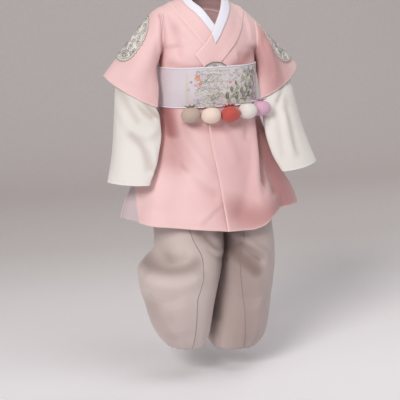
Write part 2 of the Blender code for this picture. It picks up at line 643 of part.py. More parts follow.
def chest_surface(across, down):
    x = CHEST_ROUNDEL_X + across
    row = row_at(CHEST_ROUNDEL_Z + down)
    over = CHEST_ROUNDEL_Z + down > ARMPIT_Z
    top = ridge_height(x)
    share = np.clip((top - CHEST_ROUNDEL_Z - down) / (top - ARMPIT_Z), 0, 1)
    row = np.where(over, np.sqrt(share), row)
    points, normals = coat_frame(x, row)
    return points + normals * (lap_lift(x, row) + COAT_WALL + 1.5 * SEAM)[..., None], normals


def sleeve_chart(table, side, centre_along, across, down):
    """A point of the sleeve from lengths along its top fold and down from it, with its normal."""
    fine = np.linspace(0, 1, 401)
    ridge = sleeve_frame(table, side, fine, np.zeros_like(fine))
    travelled = np.concatenate([[0], np.cumsum(np.linalg.norm(np.diff(ridge, axis=0), axis=1))])
    start = np.interp(centre_along, fine, travelled)
    along = np.interp(start + across, travelled, fine)
    facing = 1 if down >= 0 else -1
    turns = facing * np.linspace(0, np.pi, 181)
    ring = sleeve_frame(table, side, np.full(turns.shape, along), turns)
    length = np.concatenate([[0], np.cumsum(np.linalg.norm(np.diff(ring, axis=0), axis=1))])
    turn = np.interp(abs(down), length, np.abs(turns)) * facing
    return along, turn


def sleeve_outer(table, side, along, turn):
    """Points of a sleeve's surface with their outward normals."""
    small = 0.004
    here = sleeve_frame(table, side, along, turn)
    lengthwise = sleeve_frame(table, side, along + small, turn)
    lengthwise = lengthwise - sleeve_frame(table, side, along - small, turn)
    roundwise = sleeve_frame(table, side, along, turn + small)
    roundwise = roundwise - sleeve_frame(table, side, along, turn - small)
    normal = np.cross(lengthwise, roundwise)
    normal /= np.linalg.norm(normal, axis=-1, keepdims=True)
    middle = (sleeve_frame(table, side, along, 0 * turn)
              + sleeve_frame(table, side, along, 0 * turn + np.pi)) / 2
    return here, normal * np.sign(np.sum(normal * (here - middle)))


SHOULDER_ROUNDEL_ALONG = 0.49
SHOULDER_ROUNDEL_DROP = 0.004  # its middle lies this far down the front from the top fold
SHOULDER_ROUNDEL_GAP = 0.0023  # clears the half-sleeve's facets on its tight top fold
ROUNDEL_SPANS = 5              # spans on each side of the top fold
ROUNDEL_ROW_ANGLES = (-76, -60, -43, -26, -9, 9, 26, 43, 60, 76)


def shoulder_roundel(side_name):
    """A round embroidered piece folded over the top of the half-sleeve."""
    side = 1 if side_name == "left" else -1
    table = HALF_SLEEVE[side_name]
    along_rows = []
    turn_rows = []
    for row_angle in np.radians(ROUNDEL_ROW_ANGLES):
        across = SHOULDER_ROUNDEL_RADIUS * np.sin(row_angle)
        chord = SHOULDER_ROUNDEL_RADIUS * np.cos(row_angle)
        front_reach = chord + SHOULDER_ROUNDEL_DROP
        back_reach = chord - SHOULDER_ROUNDEL_DROP
        along, front_turn = sleeve_chart(table, side, SHOULDER_ROUNDEL_ALONG, across, front_reach)
        _, back_turn = sleeve_chart(table, side, SHOULDER_ROUNDEL_ALONG, across, -back_reach)
        parts = np.arange(1, ROUNDEL_SPANS + 1) / ROUNDEL_SPANS
        turns = np.concatenate([back_turn * parts[::-1], [0.0], front_turn * parts])
        turn_rows.append(turns)
        along_rows.append(np.full(turns.shape, along))
    points, normals = sleeve_outer(table, side, np.array(along_rows), np.array(turn_rows))
    points = points + normals * (COAT_WALL + SHOULDER_ROUNDEL_GAP)
    return sheet("roundel_" + side_name, points, normals, TRIM_WALL, "embroidery_silver")


# ---------------------------------------------------------------- belt, balls and trousers
def around(angle, z, offset):
    """Points round the body at an angle in degrees: 90 is the centre front, 270 the back."""
    angle = np.mod(angle, 360.0)
    behind = angle > 180.0
    folded = np.radians(np.where(behind, 360.0 - angle, angle))
    row = row_at(z)
    x = x_at_angle(folded, row)
    points, normals = coat_frame(x, np.where(behind, -row, row))
    return points + normals * offset[..., None], normals


COVER_START = -0.085          # x where the lap and the chest roundel start to push the belt out
COVER_END = 0.042
COVER_EASE = 0.048


def belt_offset(angle, z):
    """The belt clears the lapped front, the roundel and the piping under it."""
    angle = np.mod(angle, 360.0)
    x = x_at_angle(np.radians(np.minimum(angle, 360.0 - angle)), row_at(z))
    ahead = angle <= 180.0
    start = ease((x - COVER_START) / COVER_EASE)
    cover = start * (1 - ease((x - COVER_END) / COVER_EASE))
    stack = lap_lift(x, row_at(z)) * start + (TRIM_WALL + 2 * SEAM) * cover
    return COAT_WALL + 2 * SEAM + np.where(ahead, stack, 0.0)


BELT_HALF_LAP = 8.1           # half the overlap, in degrees at the flat centre back
BELT_MIDDLE_Z = (BELT_TOP + BELT_BOTTOM) / 2
BELT_SPANS = (14, 28, 15)     # round the right half of the back, the front and the left half


def belt():
    angles = np.concatenate([np.linspace(270 - BELT_HALF_LAP, 360, BELT_SPANS[0])[:-1],
                             np.linspace(360, 540, BELT_SPANS[1])[:-1],
                             np.linspace(540, 630 + BELT_HALF_LAP, BELT_SPANS[2])])
    turned = np.mod(angles, 360)
    middle = x_at_angle(np.radians(np.minimum(turned, 360 - turned)), row_at(BELT_MIDDLE_Z))
    shares = np.linspace(0, 1, 3)[:, None]
    z = (BELT_TOP + (BELT_BOTTOM - BELT_TOP) * shares) + BELT_SLOPE * middle[None, :]
    angle = np.repeat(angles[None, :], len(shares), axis=0)
    step = BELT_STEP * ease((angle - (630 - BELT_HALF_LAP - 16)) / 14)
    points, normals = around(angle, z, belt_offset(angle, z) + step)
    return sheet("belt", points, normals, BELT_WALL, "belt_silver")


def ball(number, x, drop, stand_off, colour):
    """A stuffed ball with a low crown of petals, just in front of the coat under the belt."""
    z = BELT_BOTTOM + BELT_SLOPE * x - drop
    row = row_at(z)
    spot, normal = coat_frame(np.array([x]), np.array([row]))
    lift = lap_lift(x, row) if x > read(FRONT_EDGE, "left", row) else 0.0
    out = lift + COAT_WALL + BALL_RADIUS + stand_off
    level = normal[0] * [1, 1, 0]
    level = level / np.linalg.norm(level)
    centre = spot[0] + level * out
    mesh = bpy.data.meshes.new("ball_" + str(number))
    rings = 8
    spokes = 14
    points = [(0, 0, -BALL_HALF_HEIGHT)]
    for ring in range(1, rings):
        polar = np.pi * ring / rings
        for spoke in range(spokes):
            turn = 2 * np.pi * spoke / spokes
            petal = np.exp(-((polar - 2.75) / 0.30) ** 2) * (0.6 + 0.4 * np.cos(PETALS * turn))
            reach = BALL_RADIUS * np.sin(polar)
            height = -BALL_HALF_HEIGHT * np.cos(polar) + PETAL_HEIGHT * petal
            points.append((reach * np.cos(turn), reach * np.sin(turn), height))
    points.append((0, 0, BALL_HALF_HEIGHT - 0.001))
    faces = []
    last = len(points) - 1
    for spoke in range(spokes):
        after = (spoke + 1) % spokes
        faces.append((0, 1 + after, 1 + spoke))
        faces.append((last, last - spokes + spoke, last - spokes + after))
        for ring in range(rings - 2):
            base = 1 + ring * spokes
            faces.append((base + spoke, base + after, base + spokes + after, base + spokes + spoke))
    mesh.from_pydata(points, [], faces)
    thing = place("ball_" + str(number), mesh, colour)
    thing.location = lean(centre)
    return thing


def waistband():
    angles = np.arange(0, 360, 10.0)
    angle, z = np.meshgrid(angles, np.array((WAISTBAND_TOP, -0.190, WAISTBAND_BOTTOM)))
    offset = np.full(angle.shape, -(TROUSER_WALL + SEAM + CHORD))
    points, normals = around(angle, z, offset)
    return sheet("waistband", points, normals, TROUSER_WALL, "trouser_taupe", closed=True)


LEG_HEIGHTS = {
    "right": (-0.2153, -0.245, -0.330, -0.410, -0.440, -0.468, -0.495, -0.520, -0.545, -0.570,
              -0.592, -0.620, -0.660, -0.700, -0.734, -0.749, -0.757),
    "left": (-0.2153, -0.245, -0.330, -0.410, -0.440, -0.468, -0.495, -0.520, -0.545, -0.575,
             -0.610, -0.655, -0.700, -0.738, -0.763, -0.774)}
LEG_COLUMNS_ROUND = 23
LEG_SQUARENESS = 2.25
SLIT = 0.0007                 # keeps the two edges of the inner seam one seam apart


def superellipse(angle):
    cosine = np.cos(angle)
    sine = np.sin(angle)
    power = 2 / LEG_SQUARENESS
    return np.sign(cosine) * np.abs(cosine) ** power, np.sign(sine) * np.abs(sine) ** power


def leg_points(side_name, z, share):
    """share runs from the front seam round the outside of the leg to the back seam."""
    side = 1 if side_name == "left" else -1
    table = LEG[side_name]
    outer = read(table, "outer", z)
    inner = read(table, "inner", z)
    front = read(table, "front", z)
    back = read(table, "back", z)
    middle = (front + back) / 2
    half_depth = (back - front) / 2
    open_cos, open_sin = superellipse(np.pi * share)
    open_x = inner + (outer - inner) * open_sin
    open_y = middle - half_depth * open_cos
    round_cos, round_sin = superellipse(2 * np.pi * (SLIT + (1 - 2 * SLIT) * share))
    round_x = (outer + inner) / 2 - (outer - inner) / 2 * round_cos
    round_y = middle - half_depth * round_sin
    fork = ease((FORK_TOP - z) / (FORK_TOP - CROTCH_Z))
    x = open_x + (round_x - open_x) * fork
    y = open_y + (round_y - open_y) * fork
    return np.stack([side * x, y, z], axis=-1)


def trouser_leg(side_name):
    shares = np.linspace(0, 1, LEG_COLUMNS_ROUND)
    z, share = np.meshgrid(np.array(LEG_HEIGHTS[side_name]), shares, indexing="ij")
    points = leg_points(side_name, z, share)
    side = 1 if side_name == "left" else -1
    outer = read(LEG[side_name], "outer", z)
    centre = np.stack([side * outer * 0.35, np.zeros_like(z), z], axis=-1)
    return sheet("leg_" + side_name, points, points - centre, TROUSER_WALL, "trouser_taupe")


# ---------------------------------------------------------------- the whole set
def build():
    clear_scene()
    collection = bpy.data.collections.get("hanbok") or bpy.data.collections.new("hanbok")
    if collection.name not in bpy.context.scene.collection.children:
        bpy.context.scene.collection.children.link(collection)
    for side_name in ("right", "left"):
        front_panel(side_name)
        back_panel(side_name)
        half_sleeve(side_name)
        long_sleeve(side_name)
        shoulder_roundel(side_name)
        trouser_leg(side_name)
    collar_band()
    neck_strip()
    edge_piping()
    disc("roundel_chest", chest_surface, CHEST_ROUNDEL_RADIUS, TRIM_WALL, "embroidery_silver")
    belt()
    for number, row in enumerate(BALLS["rows"], start=1):
        ball(number, *row)
    waistband()


build()
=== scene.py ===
# %% [markdown]
# # A child's hanbok set, dressed for the camera
# A hanbok for a small child is worn in layers: full trousers, a lapped half-sleeved coat, long
# white sleeves, and a stiff embroidered belt hung with stuffed balls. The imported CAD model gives
# every piece its place and size. This script lays real cloth, thread and padding over it.

# %% Load the frame
import bmesh
import bpy
import numpy as np
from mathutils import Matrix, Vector


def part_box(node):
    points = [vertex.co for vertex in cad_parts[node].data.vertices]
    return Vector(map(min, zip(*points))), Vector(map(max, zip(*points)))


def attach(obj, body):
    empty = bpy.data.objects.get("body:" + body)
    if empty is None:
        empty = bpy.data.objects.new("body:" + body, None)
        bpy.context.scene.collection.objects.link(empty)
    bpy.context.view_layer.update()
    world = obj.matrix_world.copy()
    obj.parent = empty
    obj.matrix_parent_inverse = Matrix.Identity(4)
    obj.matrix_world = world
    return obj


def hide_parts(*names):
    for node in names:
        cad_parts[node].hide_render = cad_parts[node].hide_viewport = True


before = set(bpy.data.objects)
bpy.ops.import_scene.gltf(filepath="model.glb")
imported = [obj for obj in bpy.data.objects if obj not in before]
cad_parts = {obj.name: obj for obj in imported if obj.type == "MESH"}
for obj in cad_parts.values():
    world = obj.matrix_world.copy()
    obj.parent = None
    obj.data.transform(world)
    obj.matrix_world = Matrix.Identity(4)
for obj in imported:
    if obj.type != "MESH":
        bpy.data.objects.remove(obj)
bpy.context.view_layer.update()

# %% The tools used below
CAD_BOXES = {name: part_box(name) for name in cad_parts}
SIDES = {"right": -1, "left": 1}  # the wearer's sides: x grows to the wearer's left


def add_object(name, data):
    made = bpy.data.objects.new(name, data)
    bpy.context.scene.collection.objects.link(made)
    return made


# %% [markdown]
# ## Camera
# A garment is pictured from a few steps away with a long lens, so that its shape isn't
# stretched. The camera stands a little to the wearer's right and a little above the belt.

# %% Camera
AZIMUTH, ELEVATION, DISTANCE = np.radians(-17.0), np.radians(11.0), 2.8
AIM = Vector((-0.0184, 0.0, -0.444))
towards_camera = Vector((np.sin(AZIMUTH) * np.cos(ELEVATION), -np.cos(AZIMUTH) * np.cos(ELEVATION),
                         np.sin(ELEVATION)))
camera_data = bpy.data.cameras.new("studio_camera")
camera_data.sensor_width, camera_data.lens = 36.0, 114.5
camera = add_object("studio_camera", camera_data)
camera.location = AIM + towards_camera * DISTANCE
camera.rotation_euler = (-towards_camera).to_track_quat("-Z", "Y").to_euler()
bpy.context.scene.camera = camera
print("camera at", [round(v, 3) for v in camera.location])

# %% [markdown]
# ## Studio
# Pale cloth is read by its soft shadows. One large lamp stands far off to the upper left, so its
# light is even over the whole set. A weak one fills from the right, one hangs above in front, and
# one lights the floor behind at the right. The paper runs from the floor up behind the set.

# %% Helpers for nodes, materials and colours
def feed(tree, made, inputs):
    """Each input of the node is another node's output or a plain value."""
    for key, value in inputs.items():
        if isinstance(value, bpy.types.NodeSocket):
            tree.links.new(value, made.inputs[key])
        else:
            made.inputs[key].default_value = value


def node(tree, kind, inputs=None, out=0, **settings):
    """Adds a node, sets its properties and inputs, and gives one of its outputs."""
    made = tree.nodes.new(kind)
    for key, value in settings.items():
        setattr(made, key, value)
    feed(tree, made, inputs or {})
    return made.outputs[out] if made.outputs else None


def new_material(name):
    made = bpy.data.materials.new(name)
    made.use_nodes = True
    return made, made.node_tree


def set_shader(tree, inputs):
    feed(tree, tree.nodes["Principled BSDF"], inputs)


def srgb(red, green, blue):
    """A colour as a screen names it, made linear for the shader."""
    parts = np.array((red, green, blue)) / 255.0
    line = np.where(parts <= 0.04045, parts / 12.92, ((parts + 0.055) / 1.055) ** 2.4)
    return (*[float(v) for v in line], 1.0)


print("mid grey, linear:", round(srgb(128, 128, 128)[0], 3))

# %% Paper sweep
FLOOR_Z = -0.830
# The paper's tone is a painted fall of light: lighter in front, darker towards the back
PAPER_PAINTED_FALLOFF = ((-0.10, (252, 249, 252)), (0.30, (243, 238, 240)), (0.66, (231, 226, 228)),
               (0.93, (219, 214, 213)), (1.24, (207, 201, 200)), (2.10, (196, 188, 186)),
               (3.20, (189, 182, 180)))  # each tone's place from front to back, and its colour
PAPER_HALF_WIDTH, PAPER_FRONT, PAPER_TOP, BEND_START, BEND_RADIUS = 4.0, -3.0, 4.0, 2.2, 1.2


def paper_finish():
    """Paper with a painted fall of light: its tone is lighter at the front and darker towards the
    back, with a faint grain.
    """
    paper, tree = new_material("studio_paper")
    place = node(tree, "ShaderNodeTexCoord", out="Object")
    grain = node(tree, "ShaderNodeTexNoise", {"Vector": place, "Scale": 60.0, "Detail": 3.0}, "Fac")
    first, last = PAPER_PAINTED_FALLOFF[0][0], PAPER_PAINTED_FALLOFF[-1][0]
    depth = node(tree, "ShaderNodeSeparateXYZ", {0: place}, "Y")
    share = node(tree, "ShaderNodeMapRange", {"Value": depth, 1: first, 2: last})
    ramp = node(tree, "ShaderNodeValToRGB", {"Fac": share})
    stops = ramp.node.color_ramp.elements
    for number, (y, colour) in enumerate(PAPER_PAINTED_FALLOFF):
        stop = stops[number] if number in (0, len(PAPER_PAINTED_FALLOFF) - 1) else stops.new(0.5)
        stop.position, stop.color = (y - first) / (last - first), srgb(*colour)
    tone = node(tree, "ShaderNodeMix", {0: 0.10, 6: ramp, "B": grain}, 2, data_type="RGBA",
                blend_type="SOFT_LIGHT")
    set_shader(tree, {"Base Color": tone, "Roughness": 0.85})
    return paper


def studio_sweep():
    """Paper from in front of the set, over the floor and up behind it."""
    bend = np.radians(np.linspace(0, 90, 17))
    depth = [PAPER_FRONT, 1.0, *(BEND_START + BEND_RADIUS * np.sin(bend)), BEND_START + BEND_RADIUS]
    height = [0.0, 0.0, *(BEND_RADIUS - BEND_RADIUS * np.cos(bend)), PAPER_TOP]
    points = [(x, y, z + FLOOR_Z) for y, z in zip(depth, height)
              for x in (-PAPER_HALF_WIDTH, PAPER_HALF_WIDTH)]
    faces = [(2 * i, 2 * i + 1, 2 * i + 3, 2 * i + 2) for i in range(len(depth) - 1)]
    mesh = bpy.data.meshes.new("studio_sweep")
    mesh.from_pydata(points, [], faces)
    mesh.shade_smooth()
    mesh.materials.append(paper_finish())
    add_object("studio_sweep", mesh)


studio_sweep()
print("paper tones:", len(PAPER_PAINTED_FALLOFF), "floor at:", FLOOR_Z)

# %% Lamps and air
LAMPS = (  # name, place, size, power, colour, aim
    ("key_lamp", (-7.7, -9.2, 6.5), 5.0, 1150.0, (1.0, 0.98, 0.965), AIM),
    ("fill_lamp", (2.4, -1.8, 0.6), 1.8, 6.0, (0.95, 0.97, 1.0), AIM),
    ("top_lamp", (0.3, -1.0, 2.3), 1.8, 17.0, (1.0, 1.0, 1.0), AIM),
    ("floor_lamp", (1.9, 1.4, 1.5), 1.6, 11.0, (1.0, 0.98, 0.96), (1.3, 1.6, -0.8)))
AIR_COLOUR, AIR_STRENGTH = (0.78, 0.78, 0.80, 1.0), 0.34
for name, place, size, power, colour, aim in LAMPS:
    lamp = bpy.data.lights.new(name, "AREA")
    lamp.shape, lamp.size, lamp.energy, lamp.color = "DISK", size, power, colour
    stand = add_object(name, lamp)
    stand.location = place
    stand.rotation_euler = (Vector(aim) - Vector(place)).to_track_quat("-Z", "Y").to_euler()
world = bpy.data.worlds.new("studio_air")
world.use_nodes = True
air = world.node_tree.nodes["Background"].inputs
air["Color"].default_value, air["Strength"].default_value = AIR_COLOUR, AIR_STRENGTH
bpy.context.scene.world = world
bpy.context.scene.view_settings.view_transform = "Standard"
print("lamps:", len(LAMPS), "their power W:", sum(lamp[3] for lamp in LAMPS))

# %% [markdown]
# ## The set's sizes
# The cloth must lie where the CAD solids lie, so the same tables give its shape here: where the
# shoulders slope, how the body widens to the hem, where the collar runs, how the sleeves hang.

# %% Walls and levels, in metres
COAT_WALL, TRIM_WALL, SLEEVE_WALL = 0.0012, 0.0010, 0.0010
TROUSER_WALL, BELT_WALL = 0.0012, 0.0020
SEAM, CHORD, NEST_GAP = 0.0003, 0.0009, 0.0010
LAP, LAP_FADE, LAP_START_ROW = 0.0038, 0.45, 0.15
ARMPIT_Z, ARMHOLE_HALF_DEPTH, CHEST_POWER, CHEST_CLOSES = -0.128, 0.040, 2.4, 0.45
ARMHOLE_FADE, ARMHOLE_FADE_LOW, FADE_FROM = 1.6, 7, 0.72
LEAN, LEAN_TOP, LEAN_FOOT = -0.005, -0.20, -0.36
RIDGE_Y, BELOW_ARMPIT = 0.008, 0.32
BELT_TOP, BELT_BOTTOM, BELT_SLOPE, BELT_STEP = -0.1445, -0.2285, 0.035, 0.0030
VENT_TOP, VENT_SPREAD, VENT_START, FRONT_VENT_SHARE = -0.330, 0.009, 0.80, 0.6
HEM_Z, HEM_RISE_TOP = -0.490, -0.360
LEFT_SHOULDER, CENTRE_BACK, RIGHT_SHOULDER = 0.44, 0.53, 0.62
INSIDE_END = 0.46
CROTCH_Z, FORK_TOP, LEG_SQUARENESS, SLIT = -0.520, -0.400, 2.25, 0.0007
FOLDS_BELOW_BELT, FOLDS_GROW, FOLD_AT_VENT = 0.008, 0.14, 0.45
ANGLE_STEP, ROW_STEP = 0.012, 0.004  # how far apart the points lie that give a normal

print("belt height m:", round(BELT_TOP - BELT_BOTTOM, 4), "coat wall m:", COAT_WALL)


# %% Tables in millimetres
def table(columns, *rows):
    """Rows in millimetres, kept in metres. A column marked * isn't a length."""
    scale = [1 if name[0] == "*" else 1000 for name in columns.split()]
    return {"columns": columns.replace("*", "").split(),
            "rows": np.array(rows, dtype=float) / scale}


RIDGE = table(
    "x right left",
    (0, 17, 17), (20, 13, 11), (34, 7, 2), (50, -2, -12), (68, -10, -21), (84, -17, -30),
    (105, -26, -48))
BODY = table(
    "z half_width front back *squareness",
    (-128, 104, 76, 79, 2.4), (-187, 104.5, 80, 81, 2.4), (-232, 106.5, 81, 82, 2.35),
    (-262, 117, 87, 88, 2.25), (-300, 130, 95, 96, 2.15), (-380, 160, 112, 109, 2.05),
    (-440, 179, 123, 117, 2), (-490, 192, 131, 122, 2))
HEM_RISE = table(
    "*share right left",
    (0, 1, 1), (0.15, 4.5, 0.5), (0.3, 7, 0.5), (0.38, 7.6, 4), (0.43, 8, 8.5), (0.52, 8.8, 24.5),
    (0.6, 10, 31), (0.85, 14.5, 32.5), (1, 18, 36))
FRONT_EDGE = table(
    "*row right left",
    (0, -82, 77), (0.32, -78, 75), (0.494, -71, 70), (0.668, -55, 61), (0.862, -31, 41),
    (0.953, -13, 24), (1.014, 2, 9), (1.053, 12, -2), (1.1125, 25, -17), (1.333, 30, -23),
    (1.503, 38, -22), (1.803, 46, -10), (2.133, 52, 4))
BACK_EDGE = table(
    "*row right left",
    (0, 82, 77), (0.2, 77, 73), (0.38, 61, 59), (0.5, 41, 41), (0.5878, 0, 0))
COLLAR = table(
    "*along *outer_row inner_x *inner_row",
    (0, 1.1125, -46, 0.968), (0.1, 0.953, -14, 0.83), (0.17, 0.855, -1, 0.719),
    (0.27, 0.65, 15, 0.529), (0.36, 0.41, 24, 0.307), (0.44, 0, 28, 0), (0.5, -0.43, 11, -0.222),
    (0.53, -0.5878, -7, -0.244), (0.57, -0.43, -29, -0.191), (0.62, 0, -45, 0),
    (0.7, 0.41, -39, 0.319), (0.78, 0.65, -22, 0.53), (0.86, 0.855, -1, 0.719),
    (0.93, 0.953, 19, 0.826), (1, 1.035, 41, 0.894))
FRONT_FOLDS = table(
    "*angle *spread depth",
    (13, 8, 6), (38, 10, -21), (61, 7, 10), (78, 7, -3), (104, 9, 4), (122, 8, -5), (140, 9, 7),
    (160, 8, -6))
BACK_FOLDS = table(
    "*angle *spread depth",
    (20, 9, -6), (40, 9, 6), (62, 9, -7), (84, 7, 4), (112, 10, -7), (138, 9, 6), (160, 9, -5))
INSIDE_GAPS = table(
    "*along top low face",
    (0, 1.7, 1.7, 1.7), (0.05, 2.6, 2.4, 2.6), (0.1, 3.6, 2.8, 3.4), (0.17, 6, 3.4, 4.4),
    (0.24, 8.2, 3.8, 5), (0.42, 14.5, 4.2, 5), (0.6, 21, 4.5, 5), (0.8, 27.5, 4.5, 5),
    (1, 34, 4.5, 5))
SLEEVE_COLUMNS = "*along top_x top_y top_z low_x low_y low_z front back *turn"
HALF_SLEEVE = {
    "right": table(
        SLEEVE_COLUMNS,
        (0, 104.8, 8, -26, 106.4, 0, -128, 40, 40, 0),
        (0.1, 115, 11, -33, 112.2, -5, -138, 40, 38.5, 2),
        (0.24, 127, 15, -49, 117, -18, -153, 38.5, 31, 8),
        (0.6, 169, 26, -103, 119, -44, -194, 33.5, 19, 34),
        (1, 217, 40, -168, 123.5, -52, -229, 27.2, 16, 38)),
    "left": table(
        SLEEVE_COLUMNS,
        (0, 104.8, 8, -48, 106.4, 0, -128, 40, 40, 0),
        (0.1, 119, 10, -61, 110.5, -7, -138, 39, 38, 2),
        (0.24, 134, 14, -80, 112, -20, -154, 37.5, 31, 12),
        (0.6, 171, 23, -112, 111, -36, -190, 31, 17, 30),
        (1, 219, 33, -152, 111.5, -46, -218, 25, 16, 32))}
OUTSIDE_ROWS = {
    "right": table(
        SLEEVE_COLUMNS,
        (0.56, 201, 10, -232, 120, -52, -252, 26, 23, 38),
        (0.66, 208, 1, -282, 121, -60, -283, 30, 27, 38),
        (0.82, 218, -14, -333, 137, -78, -336, 27, 25, 38),
        (1, 232, -30, -387, 157, -90, -389, 22, 20, 38)),
    "left": table(
        SLEEVE_COLUMNS,
        (0.56, 203, 4, -224, 112.5, -57, -250, 26, 23.8, 34),
        (0.66, 211, -12, -272, 109.5, -75, -285, 27, 25, 30),
        (0.82, 219, -36, -318, 119, -84, -332, 26, 25, 24),
        (1, 229, -60, -357, 140, -92, -373, 21, 20, 20))}
LEG_COLUMNS = "z outer inner front back"
LEG = {
    "right": table(
        LEG_COLUMNS,
        (-215.3, 103, 0.3, -78.2, 79.2), (-245, 102.5, 0.3, -77.8, 78.6),
        (-330, 111, 0.3, -85, 86), (-420, 118, -8, -94, 94), (-490, 121, -25, -100, 96),
        (-520, 121, -26.5, -105, 92), (-548, 122, -23.5, -112, 85), (-572, 147, -16, -122, 80),
        (-592, 163, -11, -128, 76), (-625, 161.5, -4, -126, 72), (-665, 150, 3, -118, 68),
        (-705, 137, 8, -106, 62), (-735, 121, 13, -90, 52), (-749, 109, 18, -79, 42),
        (-757, 101, 24, -71, 34)),
    "left": table(
        LEG_COLUMNS,
        (-215.3, 103, 0.3, -78.2, 79.2), (-245, 102.5, 0.3, -77.8, 78.6),
        (-330, 113, 0.3, -85, 86), (-420, 125, 9.6, -94, 94), (-490, 136, 28.2, -98, 98),
        (-520, 139.5, 29.7, -96, 98), (-548, 143.5, 27, -93, 97), (-572, 146, 21, -91, 96),
        (-592, 146.5, 17, -89, 94), (-625, 145, 11, -87, 92), (-665, 141, 6, -84, 88),
        (-705, 137, 4, -80, 82), (-736, 132, 3.5, -75, 73), (-761, 122, 6, -67, 60),
        (-774, 111, 11, -59, 49))}
print("rows of a sleeve:", len(HALF_SLEEVE["left"]["rows"]), "of a leg:", len(LEG["left"]["rows"]))


# %% Reading a table with a smooth curve that never overshoots its rows
def column(source, name):
    return source["rows"][:, source["columns"].index(name)]


def read(source, name, at):
    xs, ys = source["rows"][:, 0], column(source, name)
    if xs[0] > xs[-1]:
        xs, ys = xs[::-1], ys[::-1]
    widths = np.diff(xs)
    slopes = np.diff(ys) / widths
    same_way = slopes[:-1] * slopes[1:] > 0
    weight_a, weight_b = 2 * widths[1:] + widths[:-1], widths[1:] + 2 * widths[:-1]
    safe_a, safe_b = np.where(same_way, slopes[:-1], 1.0), np.where(same_way, slopes[1:], 1.0)
    mean = (weight_a + weight_b) / (weight_a / safe_a + weight_b / safe_b)
    tangents = np.concatenate([slopes[:1], np.where(same_way, mean, 0.0), slopes[-1:]])
    at = np.clip(np.asarray(at, dtype=float), xs[0], xs[-1])
    piece = np.clip(np.searchsorted(xs, at, side="right") - 1, 0, len(widths) - 1)
    width = widths[piece]
    part = (at - xs[piece]) / width
    stay = 1 - part
    return (ys[piece] * stay ** 2 * (1 + 2 * part) + ys[piece + 1] * part ** 2 * (3 - 2 * part)
            + width * tangents[piece] * part * stay ** 2
            - width * tangents[piece + 1] * part ** 2 * stay)

print("body half-width at the hem:", float(read(BODY, "half_width", HEM_Z)))


# %% Small functions for shapes
def ease(value):
    """0 below 0, 1 above 1, and a smooth step between."""
    value = np.clip(value, 0.0, 1.0)
    return value * value * (3 - 2 * value)


def bell(distance, width):
    """1 at no distance, fading to nothing over a few widths."""
    return np.exp(-(distance / width) ** 2)


def arch(share, power=2):
    """0 at both ends of a share, 1 in its middle, on a round or squarer arch."""
    return np.sqrt(np.clip(1 - (2 * share - 1) ** power, 0, 1))


def to_unit(vectors):
    return vectors / np.maximum(np.linalg.norm(vectors, axis=-1, keepdims=True), 1e-12)


def away_from(normals, points, middle, axis=None):
    """Turns the normals away from the middle: all together, or each by itself along axis -1."""
    return normals * np.sign(np.sum(normals * (points - middle), axis=axis, keepdims=True))


print("half of an ease:", float(ease(0.5)), "a bell at its width:", round(float(bell(1, 1)), 3))


# %% The coat's surface: x across, row number down (0 shoulder, 1 armpit, 2.13 hem)
def by_side(source, x, at):
    """Reads the wearer's right or left column, by the side that x is on."""
    return np.where(x < 0, read(source, "right", at), read(source, "left", at))


def ridge_height(x):
    return by_side(RIDGE, x, np.abs(x))


def row_height(x, row):
    top = ridge_height(x)
    upper = top - np.minimum(row, 1.0) ** 2 * (top - ARMPIT_Z)
    return np.where(row <= 1.0, upper, ARMPIT_Z - (row - 1.0) * BELOW_ARMPIT)


def row_at(z):
    return 1.0 + (ARMPIT_Z - z) / BELOW_ARMPIT


def fold_depth(source, angle, z):
    under_belt = ease((BELT_BOTTOM - FOLDS_BELOW_BELT - z) / FOLDS_GROW)
    low = FOLD_AT_VENT + (1 - FOLD_AT_VENT) * ease((VENT_TOP - z) / (VENT_TOP - HEM_Z))
    total = np.zeros(np.broadcast(angle, z).shape)
    for centre, spread, depth in source["rows"]:
        total = total + depth * bell(angle - centre, spread)
    return total * under_belt * low


def coat_point(x, row, face):
    """A point of the coat's inner side. face is -1 in front and +1 behind."""
    x, row = np.broadcast_arrays(np.asarray(x, dtype=float), np.asarray(row, dtype=float))
    z = row_height(x, row)
    level = np.minimum(z, ARMPIT_Z)
    half_width, squareness = read(BODY, "half_width", level), read(BODY, "squareness", level)
    reach = read(BODY, "front" if face < 0 else "back", level)
    share = np.clip(np.abs(x) / half_width, 0.0, 1.0)
    closed = (1 - share ** squareness) ** (1 / squareness)
    down = np.clip(row, 0.0, 1.0) ** 2
    close_up = ease((down - CHEST_CLOSES) / (1 - CHEST_CLOSES))
    profile = close_up * closed + (1 - close_up) * (1 - share ** CHEST_POWER)
    depth = reach * np.sqrt(np.clip(1 - (1 - down) ** 2, 0, 1))
    fade = ARMHOLE_FADE + ARMHOLE_FADE_LOW * ease((down - FADE_FROM) / (1 - FADE_FROM))
    out = depth * profile + ARMHOLE_HALF_DEPTH * arch(down) * (1 - profile) ** fade
    angle = np.degrees(np.arccos(np.clip(np.sign(x) * share ** (squareness / 2), -1, 1)))
    fold = fold_depth(FRONT_FOLDS if face < 0 else BACK_FOLDS, angle, z)
    swell = 1 + fold / np.hypot(x, reach * closed)
    y = RIDGE_Y * (1 - down) + face * out * swell
    low = ease((VENT_TOP - z) / (VENT_TOP - HEM_Z))
    spread = VENT_SPREAD * low * ease((share - VENT_START) / (1 - VENT_START))
    side = x * swell + np.sign(x) * spread * (FRONT_VENT_SHARE if face < 0 else -1.0)
    rise = by_side(HEM_RISE, x, share) * ease((HEM_RISE_TOP - z) / (HEM_RISE_TOP - HEM_Z))
    return np.stack([side, y, z + rise], axis=-1)

print("front of the hem m:", np.round(coat_point(0.0, float(row_at(HEM_Z)), -1), 3).tolist())


